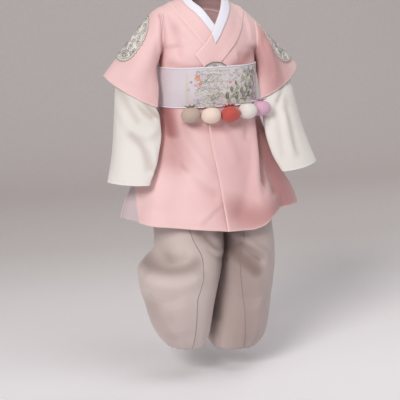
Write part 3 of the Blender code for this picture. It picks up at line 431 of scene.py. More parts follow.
# %% Angles round the coat, its normals, and the set's slight lean
def section_at(row):
    level = np.minimum(row_height(0.0, row), ARMPIT_Z)
    return read(BODY, "half_width", level), read(BODY, "squareness", level)


def signed_power(value, power):
    return np.sign(value) * np.abs(value) ** power


def x_at_angle(angle, row):
    half_width, squareness = section_at(row)
    return signed_power(np.cos(angle), 2 / squareness) * half_width


def angle_at_x(x, row):
    half_width, squareness = section_at(row)
    return np.arccos(signed_power(np.clip(x / half_width, -1, 1), squareness / 2))


def signed_point(angle, row):
    """A point by angle and signed row: negative rows lie behind the shoulder line."""
    x = x_at_angle(angle, np.abs(row))
    ahead, behind = coat_point(x, np.abs(row), -1), coat_point(x, np.abs(row), 1)
    return np.where((row >= 0)[..., None], ahead, behind)


def coat_frame(x, row):
    """Points of the coat's inner side and their outward normals."""
    x, row = np.broadcast_arrays(np.asarray(x, dtype=float), np.asarray(row, dtype=float))
    angle = angle_at_x(x, np.abs(row))
    point = signed_point(angle, row)
    before, after = [signed_point(np.clip(angle + step, 0, np.pi), row)
                     for step in (ANGLE_STEP, -ANGLE_STEP)]
    lower, upper = [signed_point(angle, row + step) for step in (ROW_STEP, -ROW_STEP)]
    normal = to_unit(np.cross(before - after, lower - upper))
    level = np.minimum(point[..., 2], ARMPIT_Z + 0.02)
    axis = np.stack([0 * level, 0 * level + RIDGE_Y, level], axis=-1)
    return point, away_from(normal, point, axis, -1)


def lap_lift(x, row):
    """How far the left front stands out over the right front."""
    across = 1 - ease((x / section_at(np.abs(row))[0] - LAP_FADE) / LAP_FADE)
    return LAP * across * ease((row - LAP_START_ROW) / 0.45)


def lean(points):
    """The upper part of the set stands a little to the wearer's right."""
    points = np.array(points, dtype=float)
    points[..., 0] += LEAN * ease((points[..., 2] - LEAN_FOOT) / (LEAN_TOP - LEAN_FOOT))
    return points


print("chest in front of the axis:", float(-coat_frame(0.0, 1.0)[0][1]))

# %% [markdown]
# ## Folds
# A fold in hanging cloth is a long low ridge or a valley that starts at a strain point (belt,
# armpit, knee) and fades out. Each one is a row here: its kind, half-width and depth, and its path
# as seen from the front, x and z in turn. A "step" is a fold pressed flat: one side stands over
# the other. A simulation would move them about; a table keeps each one where it belongs.

# %% Fold tables, in millimetres
def pairs(numbers):
    return np.reshape(numbers, (-1, 2)) / 1000


def folds(*rows):
    return [(kind, width / 1000, depth / 1000, pairs(path)) for kind, width, depth, *path in rows]


def shades(*rows):
    """Bands of painted shade: in the lee of folds, on sides turned from the lamp, and where other
    parts cast shadow. Each row holds half-width, strength from 0 to 1, and path.
    """
    return [(width / 1000, strength, pairs(path)) for width, strength, *path in rows]


SKIRT_FOLDS = folds(
    ("ridge", 11, 6, -90, -226, -86, -256, -78, -285, -66, -313, -49, -340, -20, -382),
    ("valley", 12, 6.5, -114, -226, -112, -262, -105, -300, -90, -340, -72, -374),
    ("valley", 13, 2.5, -86, -345, -62, -379, -43, -396, -4, -420),
    ("ridge", 22, 4, -100, -350, -125, -397, -150, -440),
    ("step", 9, 2.2, -62, -476, -33, -452, -2, -430),
    ("ridge", 12, 2.5, 0, -262, 8, -290, 21, -319, 32, -360),
    ("valley", 8, 3, 58, -256, 58, -276, 57, -305),
    ("ridge", 8.5, 6, 84, -240, 79, -313, 74, -381, 78, -418, 90, -450),
    ("valley", 13, 12, 98, -242, 99, -287, 98, -330, 97, -375, 100, -418),
    ("ridge", 15, 8, 128, -420, 130, -450, 134, -485),
    ("valley", 14, 2.8, 58, -350, 55, -379, 47, -428, 26, -475))
CHEST_FOLDS = folds(
    ("valley", 6, 1.2, 40, -16, 57, -42, 76, -80),
    ("ridge", 6, 1.8, 70, -25, 79, -56, 83, -100),
    ("valley", 5, 0.8, 34, -15, 38, -37, 46, -68),
    ("valley", 14, 4, 40, -128, 60, -124, 86, -126),
    ("valley", 7, 2.2, -94, -50, -82, -90, -81, -136),
    ("valley", 7, 1.8, -100, -30, -80, -69, -52, -106),
    ("ridge", 9, 1.6, -72, -60, -64, -100, -62, -135))
HALF_SLEEVE_FOLDS = folds(
    ("valley", 11, 2.5, -122, -80, -131, -130, -147, -173, -156, -216),
    ("ridge", 7, 2, -117, -60, -115, -110, -120, -150),
    ("ridge", 14, 3, -150, -95, -168, -140, -188, -186),
    ("valley", 6.5, 2.2, 106, -80, 123, -137, 131, -185),
    ("ridge", 7, 2, 118, -85, 134, -135, 142, -190),
    ("valley", 7, 2.2, 132, -106, 155, -150, 168, -195))
LONG_SLEEVE_FOLDS = folds(
    ("ridge", 9, 5, -202, -225, -187, -268, -158, -287, -126, -274),
    ("valley", 6, 5.5, -180, -202, -158, -237, -128, -258),
    ("valley", 9, 4.5, -180, -288, -163, -311, -154, -370),
    ("ridge", 15, 3, -206, -250, -205, -317, -216, -375),
    ("ridge", 8, 2, -142, -300, -141, -350, -150, -380),
    ("valley", 9, 2.2, 140, -236, 137, -295, 143, -356),
    ("ridge", 9, 2.5, 154, -240, 156, -295, 166, -350),
    ("valley", 8, 3.5, 161, -222, 170, -278, 176, -340),
    ("valley", 7, 3.5, 152, -206, 139, -232, 124, -262))
TROUSER_FOLDS = folds(
    ("ridge", 20, 9.5, -182, -588, -165, -593, -124, -598, -80, -590, -50, -566),
    ("valley", 17, 5, -165, -545, -130, -556, -90, -552, -62, -540),
    ("valley", 16, 5, -170, -630, -130, -637, -90, -630),
    ("valley", 6, 4.5, -131, -500, -130, -540, -140, -568),
    ("valley", 18, 4.5, -160, -645, -137, -681, -105, -700),
    ("ridge", 18, 3.5, -120, -640, -100, -665, -85, -720),
    ("valley", 7, 4, -42, -496, -14, -527, 12, -543),
    ("ridge", 6, 3, -40, -512, -14, -538, 10, -551),
    ("valley", 7, 4, -40, -520, -10, -548, 18, -564),
    ("ridge", 9, 7.5, 30, -496, 65, -524, 97, -550, 114, -578),
    ("valley", 12, 9, 36, -522, 66, -552, 95, -568, 108, -577),
    ("valley", 11, 5, 18, -496, 20, -533, 22, -580),
    ("valley", 15, 3, 40, -660, 70, -652, 96, -662),
    ("ridge", 15, 3.5, 75, -590, 88, -640, 92, -700))
SEAM_LINES = folds(
    ("step", 2.2, 0.9, -76, -470, -71, -488, -62, -516, -49, -543, -48, -566, -54, -605, -62, -636,
     -61, -672, -60, -723, -60, -770),
    ("step", 2.2, 0.9, 60, -440, 52, -520, 50, -600, 60, -690, 66, -785))
# Painted shade, x and z in mm: dark bands beside the sleeves, under the balls, along the armholes
# and on the sides turned from the lamp
SKIRT_SHADES = shades(
    (17, 1, -104, -226, -102, -258, -100, -285),
    (32, 0.58, -108, -260, -106, -305, -104, -335),
    (10, 0.45, -78, -262, -40, -272, 10, -274, 56, -262),
    (18, 0.75, 106, -240, 110, -290, 118, -350, 124, -380),
    (46, 0.8, 126, -290, 140, -380, 158, -450),
    (60, 0.3, 50, -350, 60, -420, 70, -460),
    (40, 0.72, 26, -446, 46, -458, 80, -464, 120, -450))
CHEST_SHADES = shades(
    (14, 0.8, 36, -146, 62, -132, 92, -116),
    (3.6, 1, -109, -40, -109.5, -100, -109, -145),
    (9, 0.35, -40, -152, -66, -148, -94, -140))
HALF_SLEEVE_SHADES = shades(
    (38, 0.64, 118, -90, 132, -150, 146, -190),
    (3.6, 1, -110.5, -40, -110, -100, -110, -150),
    (20, 0.15, -140, -160, -146, -190, -150, -220))
LONG_SLEEVE_SHADES = shades(
    (5.5, 1, -156, -214, -144, -234, -126, -250),
    (7.5, 0.55, -196, -198, -184, -232, -172, -256),
    (8.5, 0.75, -186, -286, -163, -314, -152, -352),
    (5, 0.9, 157, -194, 150, -210, 141, -226),
    (8, 0.45, 161, -222, 169, -278, 174, -334))
TROUSER_SHADES = shades(
    (26, 0.9, 10, -500, 30, -540, 80, -590),
    (70, 0.62, 50, -560, 60, -650, 60, -740),
    (60, 0.22, -110, -680, -100, -740),
    (22, 0.7, 4, -560, 4, -640, 6, -700),
    (14, 0.55, -156, -568, -120, -573, -82, -569, -62, -556),
    (5, 0.6, -141, -515, -143, -550, -148, -575),
    (14, 0.5, -50, -500, -20, -520, 0, -530),
    (22, 0.35, -150, -655, -135, -690, -105, -725))
print("folds:", sum(map(len, (SKIRT_FOLDS, CHEST_FOLDS, HALF_SLEEVE_FOLDS, LONG_SLEEVE_FOLDS,
                              TROUSER_FOLDS, SEAM_LINES))))


# %% From a fold's path to the height of the cloth beside it
def walked(points, axis):
    """The length walked along an axis of a grid of points, or along a path."""
    step = np.linalg.norm(np.diff(points, axis=axis), axis=-1)
    start = np.zeros_like(np.take(step, [0], axis=axis))
    return np.concatenate([start, np.cumsum(step, axis=axis)], axis=axis)


def smooth_path(path, count):
    """A rounded path through the given points, spaced evenly."""
    path = np.array(path, dtype=float)
    ends = np.vstack([2 * path[0] - path[1], path, 2 * path[-1] - path[-2]])
    t = np.linspace(0, 1, 12, endpoint=False)[:, None]
    parts = [0.5 * (2 * start + (end - before) * t
                    + (2 * before - 5 * start + 4 * end - after) * t ** 2
                    + (3 * start - before - 3 * end + after) * t ** 3)
             for before, start, end, after in zip(ends[:-3], ends[1:-2], ends[2:-1], ends[3:])]
    dense = np.vstack(parts + [path[-1:]])
    travelled = walked(dense, 0)
    places = np.linspace(0, travelled[-1], count)
    return np.stack([np.interp(places, travelled, line) for line in dense.T], axis=1)


def path_distance(points, path):
    """Distance to a path, share along it at the nearest point, and the side the point is on."""
    starts, steps = path[:-1], np.diff(path, axis=0)
    away = points[:, None, :] - starts[None]
    share = np.clip(np.sum(away * steps, axis=2) / np.sum(steps ** 2, axis=1), 0, 1)
    gap = away - steps * share[..., None]
    distance = np.linalg.norm(gap, axis=2)
    nearest = np.argmin(distance, axis=1)
    pick = np.arange(len(points))
    side = steps[nearest, 0] * gap[pick, nearest, 1] - steps[nearest, 1] * gap[pick, nearest, 0]
    return distance[pick, nearest], (nearest + share[pick, nearest]) / len(steps), np.sign(side)


def front_view(points):
    return lean(points).reshape(-1, 3)[:, [0, 2]]


print("first skirt fold mm:", round(1000 * float(walked(SKIRT_FOLDS[0][-1], 0)[-1])))

# %% Relief, shade and slackness
STEP_SHARPNESS, PATH_POINTS, SHADE_POINTS = 2.2, 25, 19


def relief(points, normals, source, fade_ends=0.22):
    """How far the folds move each point of the front outwards."""
    flat = front_view(points)
    total = np.zeros(len(flat))
    for kind, width, depth, path in source:
        path = smooth_path(path, PATH_POINTS)
        low, high = path.min(axis=0) - 3 * width, path.max(axis=0) + 3 * width
        near = np.all((flat > low) & (flat < high), axis=1)
        if not near.any():
            continue
        distance, share, side = path_distance(flat[near], path)
        shape = bell(distance, width)
        if kind == "step":
            shape = shape * np.tanh(STEP_SHARPNESS * side * distance / width)
        ends = ease(np.minimum(share, 1 - share) / fade_ends + 0.08)
        total[near] += (-depth if kind == "valley" else depth) * shape * ends
    return total.reshape(points.shape[:2]) * ease((-normals[..., 1] - 0.05) / 0.35)


def shaded(points, normals, source):
    """How deep each point of the front lies in painted shade, from 0 to 1, by the bands of a shade
    table.
    """
    flat = front_view(points)
    total = np.zeros(len(flat))
    for width, strength, path in source:
        distance = path_distance(flat, smooth_path(path, SHADE_POINTS))[0]
        total = np.maximum(total, strength * bell(distance, width))
    return total.reshape(points.shape[:2]) * ease((-normals[..., 1] + 0.35) / 0.35)


SLACK = {  # size of the waves, their depth, and the seed of their directions
    "coat": (0.19, 0.0011, 5), "half_sleeve": (0.16, 0.0008, 11),
    "long_sleeve": (0.15, 0.0012, 23), "trousers": (0.21, 0.0022, 31)}


def slack(points, kind):
    """The slow unevenness of a large piece of cloth, as a few crossing waves."""
    size, depth, seed = SLACK[kind]
    turn = np.random.default_rng(seed)
    total = np.zeros(points.shape[:2])
    for _ in range(7):
        way = turn.normal(size=3) * (1.0, 1.0, 0.6)
        total = total + np.sin(points @ way * 2 * np.pi / size + turn.uniform(0, 6.28))
    return total * depth / 3.5


print("kinds of slackness:", ", ".join(SLACK))

# %% [markdown]
# ## Cloth finishes
# Cloth shows three scales at once. Threads cross every half millimetre and catch the light as
# fine bumps. Thick and thin threads (slubs) streak it along the weave. Large soft patches shift
# its colour. One builder makes all three from the piece's own UV map, which is in metres, so a
# thread is as wide on a sleeve as on a skirt. Sheen is a fixed number on the shader.

# %% Cloth and thread materials
SLUB_SCALES = ((1900.0, 42.0, 1.0), (46.0, 1700.0, 1.0))  # thin streaks along the weft and the warp
PATCH_SCALE, GRAIN_SCALE, CLOTH_RELIEF, THREAD_RELIEF = 9.0, 240.0, 0.00016, 0.0002
THREAD_PITCH, SHEEN_ROUGHNESS, CLOTH_SPECULAR, THREAD_SHEEN = 0.0007, 0.45, 0.30, 0.15


def math_node(tree, operation, *values):
    return node(tree, "ShaderNodeMath", dict(enumerate(values)), operation=operation)


def mix_node(tree, factor, first, second):
    return node(tree, "ShaderNodeMix", {"Factor": factor, 6: first, 7: second}, 2, data_type="RGBA")


def thread_wave(tree, uv, pitch, way, distortion):
    return node(tree, "ShaderNodeTexWave", {"Vector": uv, "Scale": 2 * np.pi / (20 * pitch),
                                            "Distortion": distortion}, "Fac", bands_direction=way)


def raised(tree, height, strength, distance):
    return node(tree, "ShaderNodeBump", {"Height": height, "Strength": strength,
                                         "Distance": distance})


def cloth(name, light, shade, rough, sheen, warp, weft, bump=0.35, slub=0.5, **marks):
    """marks are colours for painted shade in folds and in the lee of other parts, a painted
    highlight on rims, and the thin corner.
    """
    made, tree = new_material(name)
    place = node(tree, "ShaderNodeTexCoord", out="Object")
    uv = place.node.outputs["UV"]
    crossing = math_node(tree, "MULTIPLY", thread_wave(tree, uv, warp, "X", 0.6),
                         thread_wave(tree, uv, weft, "Y", 0.6))
    streak = math_node(tree, "ADD", *[
        node(tree, "ShaderNodeTexNoise", {
            "Vector": node(tree, "ShaderNodeMapping", {"Vector": uv, "Scale": scale}),
            "Scale": 1.0, "Detail": 3.0}, "Fac") for scale in SLUB_SCALES])
    patches = node(tree, "ShaderNodeTexNoise", {"Vector": place, "Scale": PATCH_SCALE,
                                                "Detail": 2.0}, "Fac")
    shift = math_node(tree, "MULTIPLY_ADD", streak, slub, patches)
    spread = node(tree, "ShaderNodeMapRange", {"Value": shift, 1: slub + 0.20, 2: slub + 0.80})
    tone = mix_node(tree, spread, srgb(*shade), srgb(*light))
    # painted shade in folds and a painted rim highlight are mixed into the colour where a piece
    # marks them
    for label in ("hollow", "painted_rim", "corner"):
        if label in marks:
            marked = node(tree, "ShaderNodeAttribute", out="Fac", attribute_name=label)
            tone = mix_node(tree, marked, tone, srgb(*marks[label]))
    height = math_node(tree, "MULTIPLY_ADD", streak, 0.6, crossing)
    gloss = node(tree, "ShaderNodeMapRange", {"Value": streak, 1: 0.5, 2: 1.5, 3: rough - 0.05,
                                              4: rough + 0.05})
    set_shader(tree, {"Base Color": tone, "Normal": raised(tree, height, bump, CLOTH_RELIEF),
                      "Roughness": gloss, "Sheen Weight": sheen,
                      "Sheen Roughness": SHEEN_ROUGHNESS, "Specular IOR Level": CLOTH_SPECULAR})
    return made


def thread(name, light, shade, rough=0.38, metallic=0.0):
    """Twisted strands across each ribbon of stitches."""
    made, tree = new_material(name)
    place = node(tree, "ShaderNodeTexCoord", out="Object")
    wave = thread_wave(tree, place.node.outputs["UV"], THREAD_PITCH, "DIAGONAL", 1.2)
    noise = node(tree, "ShaderNodeTexNoise", {"Vector": place, "Scale": GRAIN_SCALE}, "Fac")
    gloss = node(tree, "ShaderNodeMapRange", {"Value": noise, 3: rough - 0.06, 4: rough + 0.08})
    both = math_node(tree, "MULTIPLY", wave, noise)
    set_shader(tree, {"Base Color": mix_node(tree, both, srgb(*shade), srgb(*light)),
                      "Normal": raised(tree, wave, 0.5, THREAD_RELIEF), "Roughness": gloss,
                      "Metallic": metallic, "Sheen Weight": THREAD_SHEEN})
    return made


print("thread pitch mm:", 1000 * THREAD_PITCH)

# %% The finishes: name, light and shade colour, roughness, sheen, warp and weft pitch in mm
# the marks' colours: a painted highlight for the rim and painted shade for folds and the lee of
# other parts; the white sleeves and the trousers carry their own
PINK_MARKS = dict(bump=0.30, slub=0.35, painted_rim=(248, 216, 212), hollow=(174, 114, 113))
BALL_WEAVE = (0.5, 0.5)
FINISH = {slot: cloth(name, light, shade, rough, sheen, warp / 1000, weft / 1000, **more)
          for slot, name, light, shade, rough, sheen, (warp, weft), more in (
    ("coat_pink", "pink_satin_weave", (241, 205, 203), (233, 192, 191), 0.60, 0.25, (0.5, 0.6),
     PINK_MARKS),
    ("coat_corner", "pink_weave_single_corner", (241, 205, 203), (233, 192, 191), 0.60, 0.25,
     (0.5, 0.6), dict(PINK_MARKS, corner=(205, 187, 190))),
    ("strip_white", "collar_strip_white", (240, 238, 246), (230, 228, 238), 0.55, 0.1,
     (0.4, 0.4), {}),
    ("piping_pale", "pale_pink_binding", (250, 222, 218), (242, 208, 203), 0.5, 0.3,
     (0.4, 0.9), {}),
    ("sleeve_white", "off_white_cotton", (233, 228, 223), (225, 219, 212), 0.78, 0.15, (0.6, 0.6),
     dict(bump=0.4, slub=0.45, painted_rim=(246, 243, 238), hollow=(200, 188, 179))),
    ("belt_silver", "belt_brocade_ground", (222, 212, 217), (204, 193, 200), 0.42, 0.3, (0.5, 1.1),
     dict(bump=0.5, slub=0.6)),
    ("belt_edge", "belt_edge_satin", (242, 240, 246), (230, 227, 236), 0.35, 0.2, (0.4, 1.2), {}),
    ("roundel_ground", "roundel_cream_ground", (247, 240, 231), (232, 224, 213), 0.5, 0.3,
     (0.5, 0.8), dict(bump=0.5)),
    ("trouser_taupe", "taupe_trouser_cloth", (214, 199, 194), (204, 188, 182), 0.75, 0.2,
     (0.6, 0.7), dict(bump=0.4, slub=0.45, painted_rim=(208, 193, 188), hollow=(132, 110, 105))),
    ("trouser_seam", "taupe_seam_thread", (158, 140, 134), (142, 124, 118), 0.75, 0.1,
     (0.6, 0.7), {}),
    ("taupe", "ball_taupe", (194, 174, 160), (180, 159, 146), 0.75, 0.3, BALL_WEAVE, {}),
    ("cream", "ball_cream", (242, 221, 208), (233, 210, 196), 0.72, 0.3, BALL_WEAVE, {}),
    ("coral", "ball_coral", (198, 90, 79), (180, 73, 64), 0.6, 0.35, BALL_WEAVE, {}),
    ("white", "ball_white", (232, 226, 219), (222, 214, 207), 0.72, 0.3, BALL_WEAVE, {}),
    ("lilac", "ball_lilac", (220, 178, 198), (208, 163, 184), 0.68, 0.35, BALL_WEAVE, {}))}
THREADS = {colour: thread("thread_" + name, light, shade, *more)
           for colour, name, light, shade, *more in (
    ("silver", "silver", (216, 213, 210), (158, 154, 152), 0.34, 0.25),
    ("grey", "grey", (184, 180, 175), (142, 138, 132)),
    ("pale", "pale", (250, 246, 240), (216, 210, 204), 0.32),
    ("rose", "rose_grey", (190, 158, 152), (140, 112, 108)),
    ("sage", "sage", (186, 192, 148), (132, 138, 96)),
    ("olive", "olive", (138, 136, 108), (96, 93, 74)),
    ("coral", "coral", (250, 168, 142), (226, 120, 98)),
    ("lilac", "lilac", (206, 194, 222), (160, 148, 182)),
    ("slate", "slate", (140, 137, 134), (104, 100, 97)),
    ("blush", "blush", (244, 206, 200), (222, 176, 170)),
    ("ground", "ground", (226, 219, 217), (212, 204, 202), 0.45),
    ("yellow", "yellow", (228, 220, 156), (196, 186, 118)))}
print("finishes:", len(FINISH), "threads:", len(THREADS))

# %% [markdown]
# ## From a grid of points to a sheet of cloth
# Each panel is a grid that follows the measured shape every few millimetres. The UV map holds
# the length walked along the cloth, and a rim value marks the last millimetres before an edge,
# where a painted highlight is mixed in on the coat and the white sleeves, as a turned hem catches
# the light. A live Solidify gives the wall, outwards as in the CAD.

# %% Grids and pieces
def grid_faces(rows, columns, closed, ring=False):
    """The quads of a grid. closed joins its last column to its first, and ring its last row."""
    row, span = np.meshgrid(np.arange(rows - (not ring)), np.arange(columns - (not closed)),
                            indexing="ij")
    start, below = row * columns, (row + 1) % rows * columns
    after = (span + 1) % columns
    return np.stack([start + span, start + after, below + after, below + span],
                    axis=-1).reshape(-1, 4)


def new_piece(name, points, faces, finish, uv):
    mesh = bpy.data.meshes.new(name)
    mesh.from_pydata(np.asarray(points).tolist(), [], [list(map(int, face)) for face in faces])
    mesh.shade_smooth()
    mesh.materials.append(finish)
    layer = mesh.uv_layers.new(name="cloth")
    corner_points = np.zeros(len(mesh.loops), dtype=np.int32)
    mesh.loops.foreach_get("vertex_index", corner_points)
    layer.data.foreach_set("uv", np.asarray(uv, dtype=np.float32)[corner_points].ravel())
    return add_object(name, mesh)


def face_outwards(piece):
    """Turns the faces of closed solids so that they point out."""
    work = bmesh.new()
    work.from_mesh(piece.data)
    bmesh.ops.recalc_face_normals(work, faces=work.faces)
    work.to_mesh(piece.data)
    work.free()


def place_piece(piece, slot, *replaced):
    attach(piece, "root")
    if replaced:
        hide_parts(*replaced)


print("quads, open and closed:", len(grid_faces(3, 4, False)), len(grid_faces(3, 4, True)))


# %% Sheets
def add_wall(piece, wall):
    shell = piece.modifiers.new("wall", "SOLIDIFY")
    shell.thickness, shell.offset = wall, 1.0


def sheet(name, points, normals, wall, slot, held, rests_on, finish=None, closed=False,
          painted_rim=0.0022, **marks):
    """Points are the inner side of the cloth. Returns its outer side and normals, for trimmings."""
    points = lean(points)
    faces = grid_faces(*points.shape[:2], closed)
    flat = points.reshape(-1, 3)
    corners = flat[faces]
    facing = np.cross(corners[:, 2] - corners[:, 0], corners[:, 3] - corners[:, 1])
    if np.sum(facing * normals.reshape(-1, 3)[faces[:, 0]]) < 0:
        faces = faces[:, ::-1]
    across, down = walked(points, 1), walked(points, 0)
    middle = 0.0 if closed else across[:, [points.shape[1] // 2]]
    made = new_piece(name + "_cloth", flat, faces, FINISH[finish or slot],
                     np.stack([across - middle, -down], axis=-1).reshape(-1, 2))
    edge = np.minimum(down, down[-1:] - down)
    if not closed:
        edge = np.minimum(edge, np.minimum(across, across[:, -1:] - across))
    # a rim value along the last millimetres of each edge, for a painted rim highlight
    for label, values in dict(painted_rim=bell(edge, painted_rim), **marks).items():
        layer = made.data.attributes.new(label, "FLOAT", "POINT")
        layer.data.foreach_set("value", np.asarray(values, dtype=np.float32).ravel())
    add_wall(made, wall)
    nodes = [name] if name in CAD_BOXES else [name + "_front", name + "_back"]
    place_piece(made, slot, *nodes)
    return points + normals * wall, normals


print("CAD nodes that cloth can replace:", len(CAD_BOXES))

# %% Where the cloth is held, and how its folds are shaded
BACKWARDS = np.array((0.0, 1.0, 0.0))
TUCK_DEPTH, TUCK_TOP, TUCK_FOOT, TUCK_WIDTH = {-1: 0.0055, 1: 0.0030}, -0.030, -0.150, 0.007
BELT_HOLD, BELT_RELEASE = 0.040, 0.016  # half the height that the belt holds flat, and its edge


def belt_mask(points):
    """0 under the belt, where the coat is held flat, and 1 away from it."""
    middle = (BELT_TOP + BELT_BOTTOM) / 2 + BELT_SLOPE * points[..., 0]
    return ease((np.abs(points[..., 2] - middle) - BELT_HOLD) / BELT_RELEASE)


def sunk(move, depth=0.009):
    """How far into a fold each point lies, from 0 to 1, for the shade of the cloth there."""
    return 0.75 * ease(-move / depth)


def ring_tuck(z, distance, side):
    """The armhole seam is drawn in where the sleeve hangs against the chest."""
    return (TUCK_DEPTH[side] * ease((TUCK_TOP - z) / 0.040) * ease((z - TUCK_FOOT) / 0.020)
            * bell(distance, TUCK_WIDTH))


def moved(points, depths, direction):
    return points + np.asarray(depths)[..., None] * direction


print("armhole tuck mm:", [round(1000 * depth, 1) for depth in TUCK_DEPTH.values()])

# %% [markdown]
# ## The coat
# Two fronts and two backs meet at the shoulders, the sides and the centre back. The left front
# laps over the right. The side seams are open at the foot, so each panel hangs on its own there,
# and the hem corner on the wearer's right is one thin layer that looks lavender-grey.

# %% Coat panels
RING_STEPS, SKIRT_STEPS = 40, 112
UPPER_ROWS = np.sin(np.radians(np.linspace(0, 180, RING_STEPS + 1)) / 2)
PANEL_ROWS = np.concatenate([[0.0014], UPPER_ROWS[1:],
                             np.linspace(1.0, float(row_at(HEM_Z)), SKIRT_STEPS)[1:]])
SEAM_ANGLE, FRONT_COLUMNS, BACK_COLUMNS = 0.0016, 72, 56
CORNER_X, CORNER_Z = -0.170, -0.400  # where the hem corner of one thin layer starts
CENTRE_SEAM_DEPTH, CENTRE_SEAM_WIDTH, CENTRE_SEAM_ROW = 0.0009, 0.0018, 0.58


def dress_front(points, normals, at_side, half_width, row, side):
    """Adds folds and the armhole tuck to a front panel, and gives the painted shade of each point,
    from its folds and the shade tables.
    """
    mask = belt_mask(points)
    move = (relief(points, normals, SKIRT_FOLDS) * ease((at_side + 0.02) / 0.05)
            + relief(points, normals, CHEST_FOLDS) * ease(at_side / 0.06)) * mask
    move = move + panel_slack(points, at_side, mask, row)
    points = moved(points, move, normals)
    tuck = ring_tuck(points[..., 2], at_side * half_width, side) * (row <= 1.06)
    points = moved(points, tuck, BACKWARDS)
    # painted shade from the tables: in the lee of folds, on the side turned from the lamp, under
    # the balls and beside the sleeves
    shade = np.maximum(shaded(points, normals, SKIRT_SHADES), shaded(points, normals, CHEST_SHADES))
    return points, np.maximum(sunk(move - tuck), shade)


def panel_slack(points, at_side, mask, row):
    free = ease(at_side / 0.10) * mask * ease((row - 0.35) / 0.3)
    return slack(points, "coat") * free


def coat_panel(place, side_name):
    side, front = SIDES[side_name], place == "front"
    rows = PANEL_ROWS[:, None]
    if front:
        edge = side * read(FRONT_EDGE, side_name, rows)
    else:
        edge = np.maximum(read(BACK_EDGE, side_name, rows), SEAM / 2)
    shares = np.linspace(0, 1, FRONT_COLUMNS if front else BACK_COLUMNS)
    x = side * x_at_angle(SEAM_ANGLE + (angle_at_x(edge, rows) - SEAM_ANGLE) * shares, rows)
    row = np.broadcast_to(rows if front else -rows, x.shape)
    points, normals = coat_frame(x, row)
    if front and side > 0:
        points = moved(points, lap_lift(x, row), normals)
    half_width, _ = section_at(np.abs(row))
    at_side = 1 - np.abs(x) / half_width
    marks = {}
    if front:
        points, marks["hollow"] = dress_front(points, normals, at_side, half_width, row, side)
    else:
        move = panel_slack(points, at_side, belt_mask(points), -row)
        points = moved(points, move, normals)
        # painted shade in the back panel's folds
        marks["hollow"] = sunk(move)
        seam = CENTRE_SEAM_DEPTH * np.exp(-np.abs(x) / CENTRE_SEAM_WIDTH) * (rows > CENTRE_SEAM_ROW)
        points = moved(points, -seam, normals)
    single = front and side < 0
    if single:
        seen = lean(points)
        marks["corner"] = (ease((CORNER_X - seen[..., 0]) / 0.0012)
                           * ease((CORNER_Z - seen[..., 2]) / 0.01))
    return sheet("coat_%s_%s" % (place, side_name), points, normals, COAT_WALL, "coat_pink",
                 "hung", ["coat_sleeve_" + side_name, "collar_band"],
                 "coat_corner" if single else None, **marks)


panels = {(place, side_name): coat_panel(place, side_name)
          for side_name in SIDES for place in ("front", "back")}


# %% [markdown]
# ## Collar
# The collar band is cut apart and laid over the edge of the fronts, so its outer edge is a small
# step with a shadow. Its lapped end stands a little proud. The white strip on top is stiffened
# with paper on the real coat, so it keeps a crisp crown and doesn't fold.

# %% Collar band and white strip
COLLAR_STEP, END_STANDS, BAND_STATIONS = 0.0014, 0.0012, 190
STRIP_START, STRIP_SLANT, STRIP_END = 0.118, 0.030, 0.930
STRIP_OUTER, STRIP_INNER, STRIP_CROWN = 0.64, 0.994, 0.0007


def collar_outer_x(along, row):
    left = np.where(along < LEFT_SHOULDER, read(FRONT_EDGE, "left", row),
                    read(BACK_EDGE, "left", -row))
    right = np.where(along > RIGHT_SHOULDER, read(FRONT_EDGE, "right", row),
                     -read(BACK_EDGE, "right", -row))
    return np.where(along < CENTRE_BACK, left, right)


def collar_frame(along, share):
    """Points on the band: share 0 is its outer edge and 1 its inner edge at the neck."""
    outer_row = read(COLLAR, "outer_row", along)
    outer_x = collar_outer_x(along, outer_row)
    x = outer_x + (read(COLLAR, "inner_x", along) - outer_x) * share
    row = outer_row + (read(COLLAR, "inner_row", along) - outer_row) * share
    points, normals = coat_frame(x, row)
    lift = np.where(along < LEFT_SHOULDER, lap_lift(x, row), 0.0)
    lift = lift + COLLAR_STEP * (1 - ease((share - 0.02) / 0.26))
    lift = lift + END_STANDS * (1 - ease(along / 0.07))
    move = relief(points, normals, CHEST_FOLDS) * (1 - ease(share / 0.5))
    return moved(points, lift + move, normals), normals


# Stations are spaced evenly along the band, with one on each shoulder and centre line.
marks = (0.0, LEFT_SHOULDER, CENTRE_BACK, RIGHT_SHOULDER, 1.0)
stations = np.concatenate([np.linspace(a, b, max(int(BAND_STATIONS * (b - a)), 3))[:-1]
                           for a, b in zip(marks, marks[1:])] + [[1.0]])
collar = sheet("collar_band", *collar_frame(*np.meshgrid(stations, np.linspace(-0.03, 1.0, 22),
                                                         indexing="ij")),
               COAT_WALL, "coat_pink", "stretched",
               ["coat_back_right", "coat_back_left", "coat_front_right"])

inside = (stations > STRIP_START + 0.003) & (stations < STRIP_END - 0.003)
along, share = np.meshgrid([STRIP_START, *stations[inside], STRIP_END],
                           np.linspace(STRIP_OUTER, STRIP_INNER, 11), indexing="ij")
outer_part = (STRIP_INNER - share) / (STRIP_INNER - STRIP_OUTER)
along = along - STRIP_SLANT * outer_part * (1 - ease((along - STRIP_START) / 0.06))
points, normals = collar_frame(along, share)
points = moved(points, COAT_WALL + 2 * SEAM + STRIP_CROWN * arch(outer_part), normals)
sheet("dongjeong", points, normals, TRIM_WALL, "strip_white", "stretched", ["collar_band"],
      painted_rim=0.0008)

# %% [markdown]
# ## Sleeves
# A sleeve is one length of cloth folded along its top and sewn underneath, so it hangs flat
# with a pressed fold above. The coat's sleeve stops at the elbow. The white sleeve starts inside
# it, bends at the elbow, where the cloth creases, and stays wide to the wrist.

# %% The shape of a sleeve: its folds on top and below are pressed away from the armhole
FOLD_PRESS, SLEEVE_FOLD_DEPTH, SLEEVE_STEP = 0.45, 0.008, 0.004


